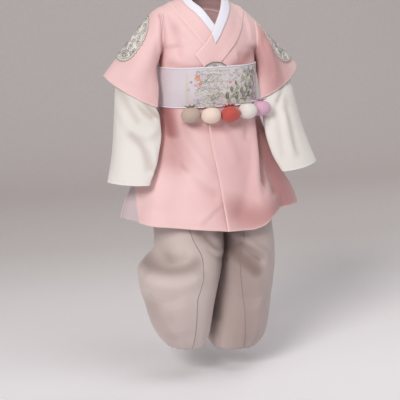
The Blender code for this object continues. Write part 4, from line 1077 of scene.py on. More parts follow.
def sleeve_frame(source, side, along, turn):
    """Points of a sleeve: turn 0 is its fold on top, 90 degrees its front, 180 its low line."""
    top, low = [np.stack([side * read(source, line + "_x", along), read(source, line + "_y", along),
                          read(source, line + "_z", along)], axis=-1) for line in ("top", "low")]
    facing = np.radians(read(source, "turn", along))
    front = np.stack([side * np.sin(facing), -np.cos(facing), np.zeros_like(facing)], axis=-1)
    pressed = FOLD_PRESS * ease((np.asarray(along) - 0.10) / 0.40)[..., None]
    out = signed_power(np.sin(turn)[..., None], 1 + pressed)
    thickness = np.where(out >= 0, read(source, "front", along)[..., None],
                         read(source, "back", along)[..., None])
    return ((top + low) / 2 + (top - low) / 2 * np.cos(turn)[..., None]
            + front * thickness * out)


def sleeve_outer(source, side, along, turn):
    """Points of a sleeve with their outward normals."""
    def at(along_step, turn_step):
        return sleeve_frame(source, side, along + along_step, turn + turn_step)
    here = at(0, 0)
    step = SLEEVE_STEP
    normals = to_unit(np.cross(at(step, 0) - at(-step, 0), at(0, step) - at(0, -step)))
    return here, away_from(normals, here, (at(0, -turn) + at(0, np.pi - turn)) / 2)


def long_sleeve_table(side_name):
    """Rows inside the half-sleeve are worked out from it; the rest are the sleeve's own."""
    outer = HALF_SLEEVE[side_name]
    rows = []
    for along in column(INSIDE_GAPS, "along"):
        top, low = [np.array([read(outer, line + axis, along) for axis in "xyz"])
                    for line in ("top_", "low_")]
        inward = (low - top) / np.linalg.norm(low - top)
        top = top + inward * read(INSIDE_GAPS, "top", along)
        low = low - inward * read(INSIDE_GAPS, "low", along)
        face_gap = read(INSIDE_GAPS, "face", along)
        rows.append((along * INSIDE_END, *top, *low, read(outer, "front", along) - face_gap,
                     read(outer, "back", along) - face_gap, read(outer, "turn", along)))
    return dict(outer, rows=np.vstack([rows, OUTSIDE_ROWS[side_name]["rows"]]))


def long_sleeve_points(side_name, station, turn):
    own = sleeve_frame(long_sleeve_table(side_name), SIDES[side_name], station, turn)
    inside = np.clip(station / INSIDE_END, 0.005, 0.99)
    outer, normals = sleeve_outer(HALF_SLEEVE[side_name], SIDES[side_name], inside, turn)
    nested = outer - normals * (SLEEVE_WALL + NEST_GAP)
    return nested + (own - nested) * ease((inside - 0.40) / 0.50)[..., None]


def ring_normals(points):
    """Outward normals of a closed tube of points."""
    roundwise = np.roll(points, -1, axis=1) - np.roll(points, 1, axis=1)
    normals = to_unit(np.cross(np.gradient(points, axis=0), roundwise))
    return away_from(normals, points, points.mean(axis=1, keepdims=True))


def tucked(points, distance, side, turn, share=1.0):
    """Draws the front of a sleeve in beside the armhole. Returns its points and how far."""
    tuck = share * ring_tuck(points[..., 2], distance, side) * (np.sin(turn) > 0)
    return moved(points, tuck, BACKWARDS), tuck


print("rows of a long sleeve:", len(long_sleeve_table("left")["rows"]))

# %% Half-sleeves
TURNS = np.radians(np.arange(2 * RING_STEPS) * 180 / RING_STEPS)
half_sleeves, long_sleeves = [], []
for side_name, side in SIDES.items():
    along, turn = np.meshgrid(np.linspace(0, 1, 60), TURNS, indexing="ij")
    points, normals = sleeve_outer(HALF_SLEEVE[side_name], side, along, turn)
    length = walked(points, 0)
    move = (relief(points, normals, HALF_SLEEVE_FOLDS)
            + slack(points, "half_sleeve") * np.sin(turn) ** 2) * ease(length / 0.020)
    points, tuck = tucked(moved(points, move, normals), length, side, turn)
    # painted shade: in the folds, along the armhole, and over the left half-sleeve, which is turned
    # from the lamp
    shade = np.maximum(sunk(move - tuck, SLEEVE_FOLD_DEPTH),
                       shaded(points, normals, HALF_SLEEVE_SHADES))
    half_sleeves.append(sheet("coat_sleeve_" + side_name, points, normals, COAT_WALL, "coat_pink",
                              "hung", ["coat_front_" + side_name, "coat_back_" + side_name],
                              closed=True, hollow=shade))

# %% White sleeves, bent and creased at the elbow; the nested part follows the half-sleeve
ELBOW_FADE, NESTED_FOLDS, NESTED_SINK, NESTED_TUCK = 0.06, 1.15, 0.0006, 1.1
for side_name, side in SIDES.items():
    station, turn = np.meshgrid(np.linspace(0.0092, 1, 120), TURNS, indexing="ij")
    points = long_sleeve_points(side_name, station, turn)
    normals = ring_normals(points)
    free = ease((station - INSIDE_END * 1.02) / ELBOW_FADE)
    shared = np.minimum(relief(points, normals, HALF_SLEEVE_FOLDS)
                        + slack(points, "half_sleeve"), 0.0)
    move = (shared * NESTED_FOLDS * (1 - ease((station - INSIDE_END) / ELBOW_FADE))
            - NESTED_SINK * (1 - free)
            + free * (relief(points, normals, LONG_SLEEVE_FOLDS)
                      + slack(points, "long_sleeve") * np.abs(np.sin(turn))))
    points = moved(points, move, normals)
    points, _ = tucked(points, walked(points, 0), side, turn, NESTED_TUCK)
    # painted shade in the elbow creases
    shade = np.maximum(sunk(move, SLEEVE_FOLD_DEPTH), shaded(points, normals, LONG_SLEEVE_SHADES))
    long_sleeves.append(sheet("white_sleeve_" + side_name, points, normals, SLEEVE_WALL,
                              "sleeve_white", "hung", ["coat_sleeve_" + side_name], closed=True,
                              hollow=shade))

# %% [markdown]
# ## Threads laid on cloth
# Embroidery is raised: a curl is a narrow cord of satin stitches, a leaf is a wide one that
# tapers. A picture on a flat surface would lose that in a side light. So each stroke is a small
# closed ribbon, domed on top, laid on a chart of the cloth: lengths across and down give a point
# and its normal. The layout is a general one of clouds, sprigs, waves and blossoms.

# %% Charts and ribbons
RIBBON = np.array(((-1.0, 0.0), (-0.55, 0.85), (0.55, 0.85), (1.0, 0.0), (0.0, -0.5)))
RIBBON_UV = np.array((-1, -0.5, 0.5, 1, 0))
AROUND = len(RIBBON)


class Chart:
    """A piece of cloth opened flat, so that a stroke can be laid on it by its lengths."""

    def __init__(self, across, down, points, normals):
        self.across, self.down, self.points, self.normals = across, down, points, normals

    def at(self, across, down, lift=0.0):
        u, v = [np.clip(np.interp(value, line, np.arange(len(line))), 0, len(line) - 1.001)
                for value, line in ((across, self.across), (down, self.down))]
        i, j = u.astype(int), v.astype(int)
        a, b = (u - i)[..., None], (v - j)[..., None]

        def mix(grid):
            return ((grid[i, j] * (1 - a) + grid[i + 1, j] * a) * (1 - b)
                    + (grid[i, j + 1] * (1 - a) + grid[i + 1, j + 1] * a) * b)
        normal = to_unit(mix(self.normals))
        return mix(self.points) + normal * np.asarray(lift)[..., None], normal

    def line(self, across, down, lift=0.0):
        """A leaned line of points, for trimmings."""
        across, down = np.broadcast_arrays(np.asarray(across, dtype=float), down)
        return lean(self.at(across, down, lift)[0])


class Strokes:
    """Ribbons of one colour on one piece, gathered into a single mesh."""

    def __init__(self):
        self.points, self.faces, self.uv, self.count = [], [], [], 0

    def add(self, chart, path, width, height, lift=0.0):
        path = np.asarray(path, dtype=float)
        count, base = len(path), self.count
        width = np.broadcast_to(np.asarray(width, dtype=float), (count,))
        along = np.gradient(path, axis=0)
        along /= np.maximum(np.linalg.norm(along, axis=1, keepdims=True), 1e-9)
        across = np.stack([-along[:, 1], along[:, 0]], axis=1)
        full = np.clip(width / max(width.max(), 1e-9) * 1.6, 0.15, 1)
        rings = []
        for offset, level in RIBBON:
            place = path + across * (width / 2 * offset)[:, None]
            rings.append(chart.at(*place.T, lift + height * level * full)[0])
        self.points.append(np.stack(rings, axis=1).reshape(-1, 3))
        self.uv.append(np.stack([np.repeat(walked(path, 0), AROUND), np.tile(RIBBON_UV, count)
                                 * np.repeat(width, AROUND) / 2], axis=1))
        self.faces += (grid_faces(count, AROUND, True)[:, [0, 3, 2, 1]] + base).tolist()
        self.faces += [list(range(base, base + AROUND)),
                       list(range(base + count * AROUND - 1, base + (count - 1) * AROUND - 1, -1))]
        self.count += count * AROUND

    def finish(self, name, colour, slot):
        made = new_piece(name, lean(np.vstack(self.points)), self.faces, THREADS[colour],
                         np.vstack(self.uv))
        face_outwards(made)
        place_piece(made, slot)


print("points round a ribbon:", AROUND)


# %% Motifs as paths: (across, down) in metres
def heading(angle):
    """The unit step in a direction, in radians."""
    return np.array((np.cos(angle), np.sin(angle)))


def crosswise(way):
    return np.array((-way[1], way[0]))


def curl(centre, size, turns, start, hand, tail, count):
    """A cloud curl: a spiral that ends in a short tail."""
    t = np.linspace(1, 0, count)
    angle = np.radians(start) + hand * 2 * np.pi * turns * t
    spiral = (size * (0.12 + 0.88 * t) * heading(angle)).T
    end_step = spiral[0] - spiral[1]
    end_step /= np.linalg.norm(end_step)
    bow = crosswise(end_step) * hand
    steps = np.linspace(1, 0, 7)[:-1, None]
    tail_part = spiral[0] + (end_step * steps - bow * steps ** 2 * 0.35) * size * tail * 2
    return np.vstack([tail_part, spiral]) + centre


def leaf(base, tip, bow, count):
    t = np.linspace(0, 1, count)[:, None]
    way = np.subtract(tip, base)
    return base + way * t + crosswise(way) * bow * np.sin(np.pi * t)


def leaf_width(width, count):
    return width * np.clip(np.sin(np.pi * np.linspace(0.03, 0.97, count)), 0.05, 1) ** 0.8


def wave_line(start, end, height, waves, count=40):
    t = np.linspace(0, 1, count)[:, None]
    start, way = np.array(start), np.subtract(end, start)
    sway = height * np.sin(2 * np.pi * waves * t) * np.sin(np.pi * t) ** 0.3
    return start + way * t + crosswise(way) / np.linalg.norm(way) * sway


def loop(radius, count, scallops=0, depth=0.0, centre=(0.0, 0.0)):
    angle = np.linspace(0, 2 * np.pi, count)
    return ((radius + depth * np.abs(np.sin(scallops * angle / 2))) * heading(angle)).T + centre


def blossom(strokes, chart, centre, size, petals, turn):
    """Petals as wide leaves that start a little away from the middle."""
    for number in range(petals):
        way = heading(turn + 2 * np.pi * number / petals)
        strokes.add(chart, leaf(centre + way * size * 0.18, centre + way * size, 0.05, 9),
                    leaf_width(size * 0.62, 9), 0.0007)


print("points of a curl:", len(curl((0, 0), 0.006, 1.2, 0, 1, 0.6, 22)))

# %% [markdown]
# ## Roundels
# Round embroidered pieces are sewn over the top of each shoulder, and one on the chest shows
# only its upper rim above the belt. Each is a stiff disc of cream cloth with silver clouds, a
# few small coloured touches and a scalloped rim.

# %% Charts of the places the roundels are sewn to
SHOULDER_RADIUS, SHOULDER_ALONG, SHOULDER_DROP = 0.056, 0.49, 0.004
CHEST_RADIUS, CHEST_X, CHEST_Z = 0.033, -0.0044, -0.1675
DISC_RINGS, DISC_SPOKES = 20, 88


def shoulder_chart(side_name):
    side, source = SIDES[side_name], HALF_SLEEVE[side_name]
    fine, sweep = np.linspace(0, 1, 401), np.linspace(0, np.pi, 181)
    travelled = walked(sleeve_frame(source, side, fine, 0 * fine), 0)
    steps = np.linspace(-0.062, 0.062, 63)
    alongs = np.interp(np.interp(SHOULDER_ALONG, fine, travelled) + steps, travelled, fine)
    turns = []
    for along in alongs:
        behind, ahead = [walked(sleeve_frame(source, side, np.full(181, along), way * sweep), 0)
                         for way in (-1, 1)]
        turns.append(np.where(steps < 0, -np.interp(-steps, behind, sweep),
                              np.interp(steps, ahead, sweep)))
    points, normals = sleeve_outer(source, side, np.repeat(alongs[:, None], 63, axis=1),
                                   np.array(turns))
    lift = relief(points, normals, HALF_SLEEVE_FOLDS) * 0.8 + COAT_WALL + 0.0006
    return Chart(steps, steps - SHOULDER_DROP, moved(points, lift, normals), normals)


def chest_chart():
    steps = np.linspace(-0.036, 0.036, 41)
    across, down = np.meshgrid(steps, steps, indexing="ij")
    x, z = CHEST_X + across, CHEST_Z + down
    top = ridge_height(x)
    share = np.clip((top - z) / (top - ARMPIT_Z), 0, 1)
    row = np.where(z > ARMPIT_Z, np.sqrt(share), row_at(z))
    points, normals = coat_frame(x, row)
    lift = lap_lift(x, row) + COAT_WALL + 1.5 * SEAM + 0.0030 * ease((z + 0.1475) / 0.006)
    return Chart(steps, steps, moved(points, lift, normals), normals)


def disc_sheet(name, chart, radius):
    """A disc with a soft crown, as a polar grid closed at its middle."""
    angle = np.arange(DISC_SPOKES) * 2 * np.pi / DISC_SPOKES
    reach = radius * np.linspace(1, 0, DISC_RINGS + 1)[:-1]
    across, down = [np.append(np.outer(reach, line).ravel(), 0.0) for line in heading(angle)]
    points, normals = chart.at(across, down)
    points = lean(points)
    faces = grid_faces(DISC_RINGS, DISC_SPOKES, True).tolist()
    last, centre = (DISC_RINGS - 1) * DISC_SPOKES, DISC_RINGS * DISC_SPOKES
    faces += [(last + k, last + (k + 1) % DISC_SPOKES, centre) for k in range(DISC_SPOKES)]
    start, second, third = points[faces[0][:3]]
    if np.dot(np.cross(second - start, third - start), normals[0]) < 0:
        faces = [face[::-1] for face in faces]
    made = new_piece(name + "_disc", points, faces, FINISH["roundel_ground"],
                     np.stack([across, down], axis=1))
    add_wall(made, TRIM_WALL)
    place_piece(made, "embroidery_silver", name)


print("roundels mm across:", 2000 * SHOULDER_RADIUS, 2000 * CHEST_RADIUS)

# %% Embroidery of one roundel
ROUNDEL_COLOURS = ("silver", "pale", "grey", "rose", "slate", "lilac", "sage", "yellow", "coral")
CURL_COLOURS = ("grey", "pale", "slate", "silver", "pale", "silver")
TOUCH_COLOURS = ("lilac", "sage", "yellow", "lilac", "coral")
ROUNDEL_CURLS, ROUNDEL_TOUCHES = 120, 10


def scatter(pick, count, low, high, keep=lambda spot: True):
    """Places spread evenly but in no pattern: each is the farthest of ten tries."""
    spots = [np.add(low, high) / 2]
    while len(spots) < count:
        tries = [spot for spot in pick.uniform(low, high, (10, 2)) if keep(spot)]
        if tries:
            spots.append(max(tries, key=lambda spot: np.min(
                np.sum((np.array(spots) - spot) ** 2, axis=1))))
    return np.array(spots)


def roundel_embroidery(name, chart, radius, seed, dark_rim):
    pick = np.random.default_rng(seed)
    threads = {colour: Strokes() for colour in ROUNDEL_COLOURS}

    def sew(colour, path, width, height):
        threads[colour].add(chart, path, width, height, TRIM_WALL)
    sew("rose", loop(radius * 0.955, 193, 34, radius * 0.035), 0.0016, 0.0010)
    sew("pale", loop(radius * 0.925, 121), 0.0018, 0.0009)
    sew("silver", loop(radius * 0.880, 121), 0.0013, 0.0008)
    if dark_rim:
        sew("slate", loop(radius * 0.965, 121), 0.0030, 0.0014)
    reach = radius * 0.84
    spots = scatter(pick, ROUNDEL_CURLS, (-reach, -reach), (reach, reach),
                    lambda spot: np.hypot(*spot) < reach)
    for number, centre in enumerate(spots):
        path = curl(centre, radius * pick.uniform(0.065, 0.095), 1.2, pick.uniform(0, 360),
                    1 if number % 2 else -1, 0.75, 18)
        path = path * np.minimum(1, radius * 0.87 / np.linalg.norm(path, axis=1))[:, None]
        sew(CURL_COLOURS[number % 6], path, leaf_width(radius * 0.024, len(path)) + 0.0005, 0.0007)
    for number in range(ROUNDEL_TOUCHES):
        angle, share = pick.uniform(0, 2 * np.pi), pick.uniform(0.26, 0.80)
        base = radius * share * heading(angle)
        tip = base + radius * 0.11 * heading(angle + 1.2)
        sew(TOUCH_COLOURS[number % 5], leaf(base, tip, 0.1, 8), leaf_width(radius * 0.04, 8),
            0.0009)
    for colour, strokes in threads.items():
        strokes.finish(f"{name}_thread_{colour}", colour, "embroidery_silver")


for name, chart, radius, under, seed in (
        ("roundel_right", shoulder_chart("right"), SHOULDER_RADIUS, "coat_sleeve_right", 3),
        ("roundel_left", shoulder_chart("left"), SHOULDER_RADIUS, "coat_sleeve_left", 8),
        ("roundel_chest", chest_chart(), CHEST_RADIUS, "coat_front_left", 21)):
    disc_sheet(name, chart, radius)
    roundel_embroidery(name, chart, radius, seed, dark_rim=name == "roundel_chest")

# %% [markdown]
# ## Belt
# The belt is two layers of brocade over a stiff pad, so it keeps its own round shape and doesn't
# wrinkle with the coat. Satin binding runs along its edges and its outer end. The embroidery
# covers the middle and the wearer's left, and the rest stays plain.

# %% Where the belt lies
COVER_START, COVER_END, COVER_EASE = -0.085, 0.042, 0.048
BELT_HALF_LAP, BELT_STATIONS, BELT_LINES, BELT_SWELL = 8.1, 300, 29, 0.0010


def upper_angle(angle):
    """An angle behind the body, as the angle in front of it at the same x."""
    angle = np.mod(angle, 360.0)
    return np.radians(np.minimum(angle, 360.0 - angle))


def around(angle, z, offset):
    """Points round the body at an angle in degrees: 90 is the centre front, 270 the back."""
    row = row_at(z)
    points, normals = coat_frame(x_at_angle(upper_angle(angle), row),
                                 np.where(np.mod(angle, 360.0) > 180.0, -row, row))
    return moved(points, offset, normals), normals


def belt_offset(angle, z):
    x = x_at_angle(upper_angle(angle), row_at(z))
    start = ease((x - COVER_START) / COVER_EASE)
    cover = start * (1 - ease((x - COVER_END) / COVER_EASE))
    stack = lap_lift(x, row_at(z)) * start + (TRIM_WALL + 2 * SEAM) * cover
    return COAT_WALL + 2 * SEAM + np.where(np.mod(angle, 360.0) <= 180.0, stack, 0.0)


print("belt stands off its coat mm:", round(1000 * float(belt_offset(90.0, BELT_TOP)), 2))

# %% Belt pad
angles = np.linspace(270 - BELT_HALF_LAP, 630 + BELT_HALF_LAP, BELT_STATIONS)
belt_x = x_at_angle(upper_angle(angles), row_at((BELT_TOP + BELT_BOTTOM) / 2))
share = np.linspace(0, 1, BELT_LINES)[:, None]
z = BELT_TOP + (BELT_BOTTOM - BELT_TOP) * share + BELT_SLOPE * belt_x
angle = np.broadcast_to(angles, z.shape)
step = BELT_STEP * ease((angle - (630 - BELT_HALF_LAP - 16)) / 14)
points, normals = around(angle, z, belt_offset(angle, z) + step)
belt_top_side = moved(points, BELT_WALL * 0.55 + BELT_SWELL * arch(share, 6), normals)
inner, outer = lean(points), lean(belt_top_side)
belt_middle = int(np.argmin(np.abs(angles - 450)))
across = walked(outer[BELT_LINES // 2], 0)
across = across - across[belt_middle]
belt_down = walked(outer[:, belt_middle], 0)
rows = 2 * BELT_LINES
faces = grid_faces(rows, BELT_STATIONS, False, ring=True).tolist()
faces += [[row * BELT_STATIONS for row in range(rows)],
          [row * BELT_STATIONS + BELT_STATIONS - 1 for row in reversed(range(rows))]]
belt_piece = new_piece(
    "belt_pad", np.concatenate([inner, outer[::-1]]).reshape(-1, 3), faces, FINISH["belt_silver"],
    np.stack([np.tile(across, rows), np.repeat([*belt_down, *belt_down[::-1]], BELT_STATIONS)],
             axis=1))
face_outwards(belt_piece)
place_piece(belt_piece, "belt_silver", "belt")
belt_across = -across[::-1]
belt_chart = Chart(belt_across, belt_down, belt_top_side.transpose(1, 0, 2)[::-1],
                   normals.transpose(1, 0, 2)[::-1])
BELT_HEIGHT = float(belt_down[-1])
print("belt length m:", round(float(np.ptp(belt_across)), 3), "height mm:",
      round(1000 * BELT_HEIGHT, 1))

# %% Belt embroidery: its threads lie on the chart, x grows to the wearer's left
belt_threads = {colour: Strokes() for colour in THREADS}
pick = np.random.default_rng(17)
GROUND_ROWS, WAVE_ROWS, CLOUD_CURLS, SMALL_LEAVES, END_STRANDS = 38, 26, 130, 9, 7
BELT_CURLS = ("silver", "grey", "sage", "pale", "lilac", "grey", "slate", "silver")
BELT_WAVES = ("grey", "pale", "silver", "sage", "silver")
BELT_SPRIGS = (  # base across and down, angle, length, colours, leaves, leaf width; all in mm
    (18, 76, -58, 44, ("olive", "sage"), 5, 8.5), (38, 78, -46, 50, ("olive", "sage"), 6, 9.0),
    (58, 77, -58, 44, ("slate", "olive"), 5, 8.0), (50, 36, -35, 32, ("sage", "yellow"), 4, 6.2),
    (78, 72, -60, 38, ("olive", "lilac"), 5, 6.6), (88, 36, -80, 28, ("olive", "sage"), 4, 6.4),
    (-20, 70, -30, 30, ("sage", "silver"), 4, 4.6))
BELT_BLOSSOMS = (  # centre across and down in mm, radius in mm, colour
    (-47, 22, 7.2, "coral"), (-42, 34, 5.2, "coral"), (-52, 37, 4.0, "blush"),
    (24, 34, 4.2, "coral"), (-67, 46, 4.0, "blush"), (-61, 30, 3.4, "lilac"),
    (70, 18, 5.0, "lilac"), (6, 62, 4.8, "blush"))


def sew(colour, path, width, height):
    belt_threads[colour].add(belt_chart, path, width, height)


def sprig(base, angle, length, colours, leaves, width):
    """A stem with leaves on both sides that get smaller towards its tip."""
    way = heading(np.radians(angle))
    sew("slate", leaf(base, base + way * length, 0.08, 14), 0.0011, 0.0010)
    for number in range(leaves):
        t = (number + 0.6) / leaves
        side = 1 if number % 2 else -1
        root = base + way * length * t
        reach = length * 0.42 * (1.05 - 0.5 * t)
        tip = root + (way * 0.75 + crosswise(way) * side * 0.66) * reach
        blade = leaf(root, tip, 0.14 * side, 12)
        sew(colours[number % len(colours)], blade, leaf_width(width * (1.1 - 0.5 * t), 12), 0.0011)
        sew("pale", blade, 0.0007, 0.0015)


print("sprigs:", len(BELT_SPRIGS), "blossoms:", len(BELT_BLOSSOMS))

# %% The belt's stitching, from the ground up
for across, down, angle, length, colours, leaves, width in BELT_SPRIGS:
    sprig(np.array((across, down)) / 1000, angle, length / 1000, colours, leaves, width / 1000)
for number in range(GROUND_ROWS):
    down = 0.0055 + number * 0.0020
    start = (-0.047 + 0.007 * np.sin(number * 0.45), down)
    sew("ground", wave_line(start, (0.112, down), 0.0003, 9), 0.0027, 0.0002)
for number in range(WAVE_ROWS):
    start = np.array((-0.046 + 0.008 * np.sin(number * 1.7), 0.008 + number * 0.0027))
    end = start + (0.048 + 0.012 * np.cos(number * 2.3), 0.005 * np.sin(number * 1.1))
    sew(BELT_WAVES[number % 5], wave_line(start, end, 0.0018, 2.5 + number % 3), 0.0008, 0.0005)
spots = scatter(pick, CLOUD_CURLS, (-0.048, 0.007), (0.108, BELT_HEIGHT - 0.007))
for number, centre in enumerate(spots):
    path = curl(centre, pick.uniform(0.0026, 0.0044), 1.1, pick.uniform(0, 360),
                1 if number % 2 else -1, 0.8, 14)
    path[:, 1] = np.clip(path[:, 1], 0.005, BELT_HEIGHT - 0.005)
    sew(BELT_CURLS[number % 8], path, leaf_width(0.0009, len(path)) + 0.0003, 0.0006)
for across, down, size, colour in BELT_BLOSSOMS:
    centre, size = np.array((across, down)) / 1000, size / 1000
    blossom(belt_threads[colour], belt_chart, centre, size, 5, size * 400)
    sew("yellow", loop(size * 0.12, 9, centre=centre), size * 0.22, 0.0010)
for number in range(SMALL_LEAVES):
    base = np.array((0.062 + 0.005 * number, 0.010 + 0.004 * (number % 3)))
    sew("slate" if number % 2 else "olive", leaf(base, base + (0.001, 0.0062), 0.05, 8),
        leaf_width(0.0030, 8), 0.0007)
for number in range(END_STRANDS):
    ends = [(start + 0.0012 * number, down) for start, down in ((-0.0735, 0.012), (-0.0725, 0.074))]
    sew("yellow" if number % 3 == 1 else "pale", wave_line(*ends, 0.0004, 3), 0.0005, 0.0003)
for colour, strokes in belt_threads.items():
    if strokes.count:
        strokes.finish("belt_thread_" + colour, colour, "belt_silver")
print("belt stroke points:", sum(strokes.count for strokes in belt_threads.values()))

# %% [markdown]
# ## Cords and stitches from Geometry Nodes
# Bindings and rows of stitches follow a line, so one tree sweeps a round cord along it and one
# sets a small stitch at an even pitch, each a little different. The lines come from the edges
# of the sheets above, so a change to a sheet carries its trimmings with it.

# %% The two trees
def new_tree(name, labels):
    """A tree that turns its mesh into a curve. Gives its inputs by name, and the curve."""
    tree = bpy.data.node_groups.new(name, "GeometryNodeTree")
    add = tree.interface.new_socket
    add(name="Geometry", in_out="INPUT", socket_type="NodeSocketGeometry")
    for label in labels:
        add(name=label, in_out="INPUT", socket_type="NodeSocketFloat")
    add(name="Material", in_out="INPUT", socket_type="NodeSocketMaterial")
    add(name="Geometry", in_out="OUTPUT", socket_type="NodeSocketGeometry")
    inputs = node(tree, "NodeGroupInput").node.outputs
    return tree, inputs, node(tree, "GeometryNodeMeshToCurve", {"Mesh": inputs["Geometry"]})


def end_tree(tree, inputs, shape):
    real = node(tree, "GeometryNodeRealizeInstances", {0: shape})
    smooth = node(tree, "GeometryNodeSetShadeSmooth", {0: real})
    finish = node(tree, "GeometryNodeSetMaterial", {0: smooth, "Material": inputs["Material"]})
    node(tree, "NodeGroupOutput", {0: finish})
    return tree


def store(tree, shape, name, value, kind="FLOAT", domain="POINT"):
    return node(tree, "GeometryNodeStoreNamedAttribute",
                {"Geometry": shape, "Value": value, "Name": name}, data_type=kind, domain=domain)


def cord_tree():
    """A round cord. Its "cloth" map holds the length along it and round it."""
    tree, inputs, curve = new_tree("sewn_cord", ["Radius"])
    length = node(tree, "GeometryNodeSplineParameter", out="Length")
    ring = node(tree, "GeometryNodeCurvePrimitiveCircle", {"Radius": inputs["Radius"],
                                                           "Resolution": 8})
    tube = node(tree, "GeometryNodeCurveToMesh", {
        "Curve": store(tree, curve, "along", length), "Fill Caps": True,
        "Profile Curve": store(tree, ring, "round", length)})
    chart = node(tree, "ShaderNodeCombineXYZ", {
        axis: node(tree, "GeometryNodeInputNamedAttribute", {"Name": name}, data_type="FLOAT")
        for axis, name in enumerate(("along", "round"))})
    return end_tree(tree, inputs, store(tree, tube, "cloth", chart, "FLOAT2", "CORNER"))


def stitch_tree():
    """Small stitches at an even pitch, each from 85 to 110 % of the stitch length."""
    tree, inputs, curve = new_tree("sewn_stitches", ["Pitch", "Length", "Thickness"])
    spots = node(tree, "GeometryNodeCurveToPoints", {"Curve": curve, "Length": inputs["Pitch"]},
                 mode="LENGTH").node.outputs
    grain = node(tree, "GeometryNodeMeshUVSphere", {"Segments": 6, "Rings": 4, "Radius": 0.5})
    vary = node(tree, "FunctionNodeRandomValue", {"Seed": 7, 2: 0.85, 3: 1.10}, 1,
                data_type="FLOAT")
    longer = math_node(tree, "MULTIPLY", inputs["Length"], vary)
    size = node(tree, "ShaderNodeCombineXYZ", {0: longer, 1: inputs["Thickness"],
                                               2: inputs["Thickness"]})
    way = node(tree, "FunctionNodeAlignRotationToVector", {"Vector": spots["Tangent"]}, axis="X")
    laid = node(tree, "GeometryNodeInstanceOnPoints", {
        "Points": spots["Points"], "Instance": grain, "Rotation": way, "Scale": size})
    return end_tree(tree, inputs, laid)


CORD_TREE, STITCH_TREE = cord_tree(), stitch_tree()
print("nodes in the trees:", len(CORD_TREE.nodes), len(STITCH_TREE.nodes))


# %% From a tree and its lines to a plain mesh
def grow(name, tree, paths, slot, finish, **values):
    """Runs a tree along the paths (already leaned) and keeps the result as a plain mesh."""
    edges, base = [], 0
    for path in paths:
        edges += [(base + k, base + k + 1) for k in range(len(path) - 1)]
        base += len(path)
    line = bpy.data.meshes.new(name + "_line")
    line.from_pydata(np.vstack(paths).tolist(), edges, [])
    guide = add_object(name + "_line", line)
    modifier = guide.modifiers.new("tree", "NODES")
    modifier.node_group = tree
    sockets = {item.name: item.identifier for item in tree.interface.items_tree
               if item.item_type == "SOCKET" and item.in_out == "INPUT"}
    for label, value in dict(values, Material=finish).items():
        modifier[sockets[label]] = value
    bpy.context.view_layer.update()
    ready = guide.evaluated_get(bpy.context.evaluated_depsgraph_get())
    mesh = bpy.data.meshes.new_from_object(ready)
    mesh.name = name
    made = add_object(name, mesh)
    bpy.data.objects.remove(guide, do_unlink=True)
    place_piece(made, slot)
    print(name, "faces:", len(mesh.polygons))
    return made


def cord(name, paths, slot, radius, finish=None):
    return grow(name, CORD_TREE, paths, slot, FINISH[finish or slot], Radius=radius)


def stitches(name, paths, slot, colour, pitch, length, thickness):
    grow(name, STITCH_TREE, paths, slot, THREADS[colour], Pitch=pitch, Length=length,
         Thickness=thickness)


def inset(surface, column=None, row=None, lift=0.0002):
    """A line along one column or row of a sheet's outer side."""
    picked = (slice(None), column) if row is None else (row, slice(None))
    points, normals = surface
    return points[picked] + normals[picked] * lift


# %% Bindings of the coat, the armholes and the belt
lapped = panels["front", "left"]
below_belt = PANEL_ROWS > 1.105
piping = cord("front_edge_cord", [inset(lapped, column=-1)[below_belt]], "piping_pale", 0.00125)
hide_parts("front_edge_piping")
cord("vent_bindings", [inset(panel, column=0, lift=-0.0003)[panel[0][:, 0, 2] < VENT_TOP]
                       for panel in panels.values()], "piping_pale", 0.0008)
rings = [inset(sleeve, row=0, lift=-0.0006) for sleeve in half_sleeves]
cord("armhole_welt", [np.vstack([ring, ring[:1]]) for ring in rings], "coat_pink", 0.0011)
belt_lines = [belt_chart.line(belt_across, depth) for depth in (0.0009, BELT_HEIGHT - 0.0009)]
belt_ends = [belt_chart.line(belt_across[end], np.linspace(0, BELT_HEIGHT, 12)) for end in (0, -1)]
cord("belt_binding", belt_lines + belt_ends, "belt_silver", 0.0013, "belt_edge")

# %% Rows of stitches: pitch, length and thickness in metres
stitches("coat_stitches", [inset(lapped, column=-3)[below_belt]]
         + [inset(panel, row=-4) for panel in panels.values()] + [inset(collar, column=3)]
         + [inset(sleeve, row=-3) for sleeve in half_sleeves],
         "coat_pink", "blush", 0.0042, 0.0016, 0.00035)
stitches("white_sleeve_stitches", [inset(sleeve, row=-4) for sleeve in long_sleeves],
         "sleeve_white", "pale", 0.0042, 0.0016, 0.00035)
stitches("belt_stitches", [belt_chart.line(belt_across, depth, 0.0002)
                           for depth in (0.0034, BELT_HEIGHT - 0.0034)],
         "belt_silver", "silver", 0.0032, 0.0018, 0.0004)

# %% [markdown]
# ## Stuffed balls
# Each ball is a round of cloth drawn up over stuffing and tied. It sits wider than it is tall,
# its top sinks where it is tied, the folds of the gathering run out from there, and the spare
# cloth stands up as a small crown. It hangs from the belt's lower edge by a short loop.

# %% The shape of a ball
BALL_RADIUS, BALL_HALF_HEIGHT, BALL_SPOKES = 0.0208, 0.0165, 84
BALLS = (  # x, drop and stand-off in mm, colour, gathers and their depth, crown, tilt, spin
    (-56, 12.5, 0.6, "taupe", 7, 0.05, "taupe", 16, 10),
    (-21, 14.0, 1.9, "cream", 8, 0.04, "white", 20, 40),
    (17.5, 15.0, 0.7, "coral", 9, 0.10, "coral", 24, 25),
    (52.5, 11.0, 0.9, "white", 7, 0.06, "white", 14, 80),
    (84, 10.5, 1.3, "lilac", 8, 0.07, "lilac", 10, 0))


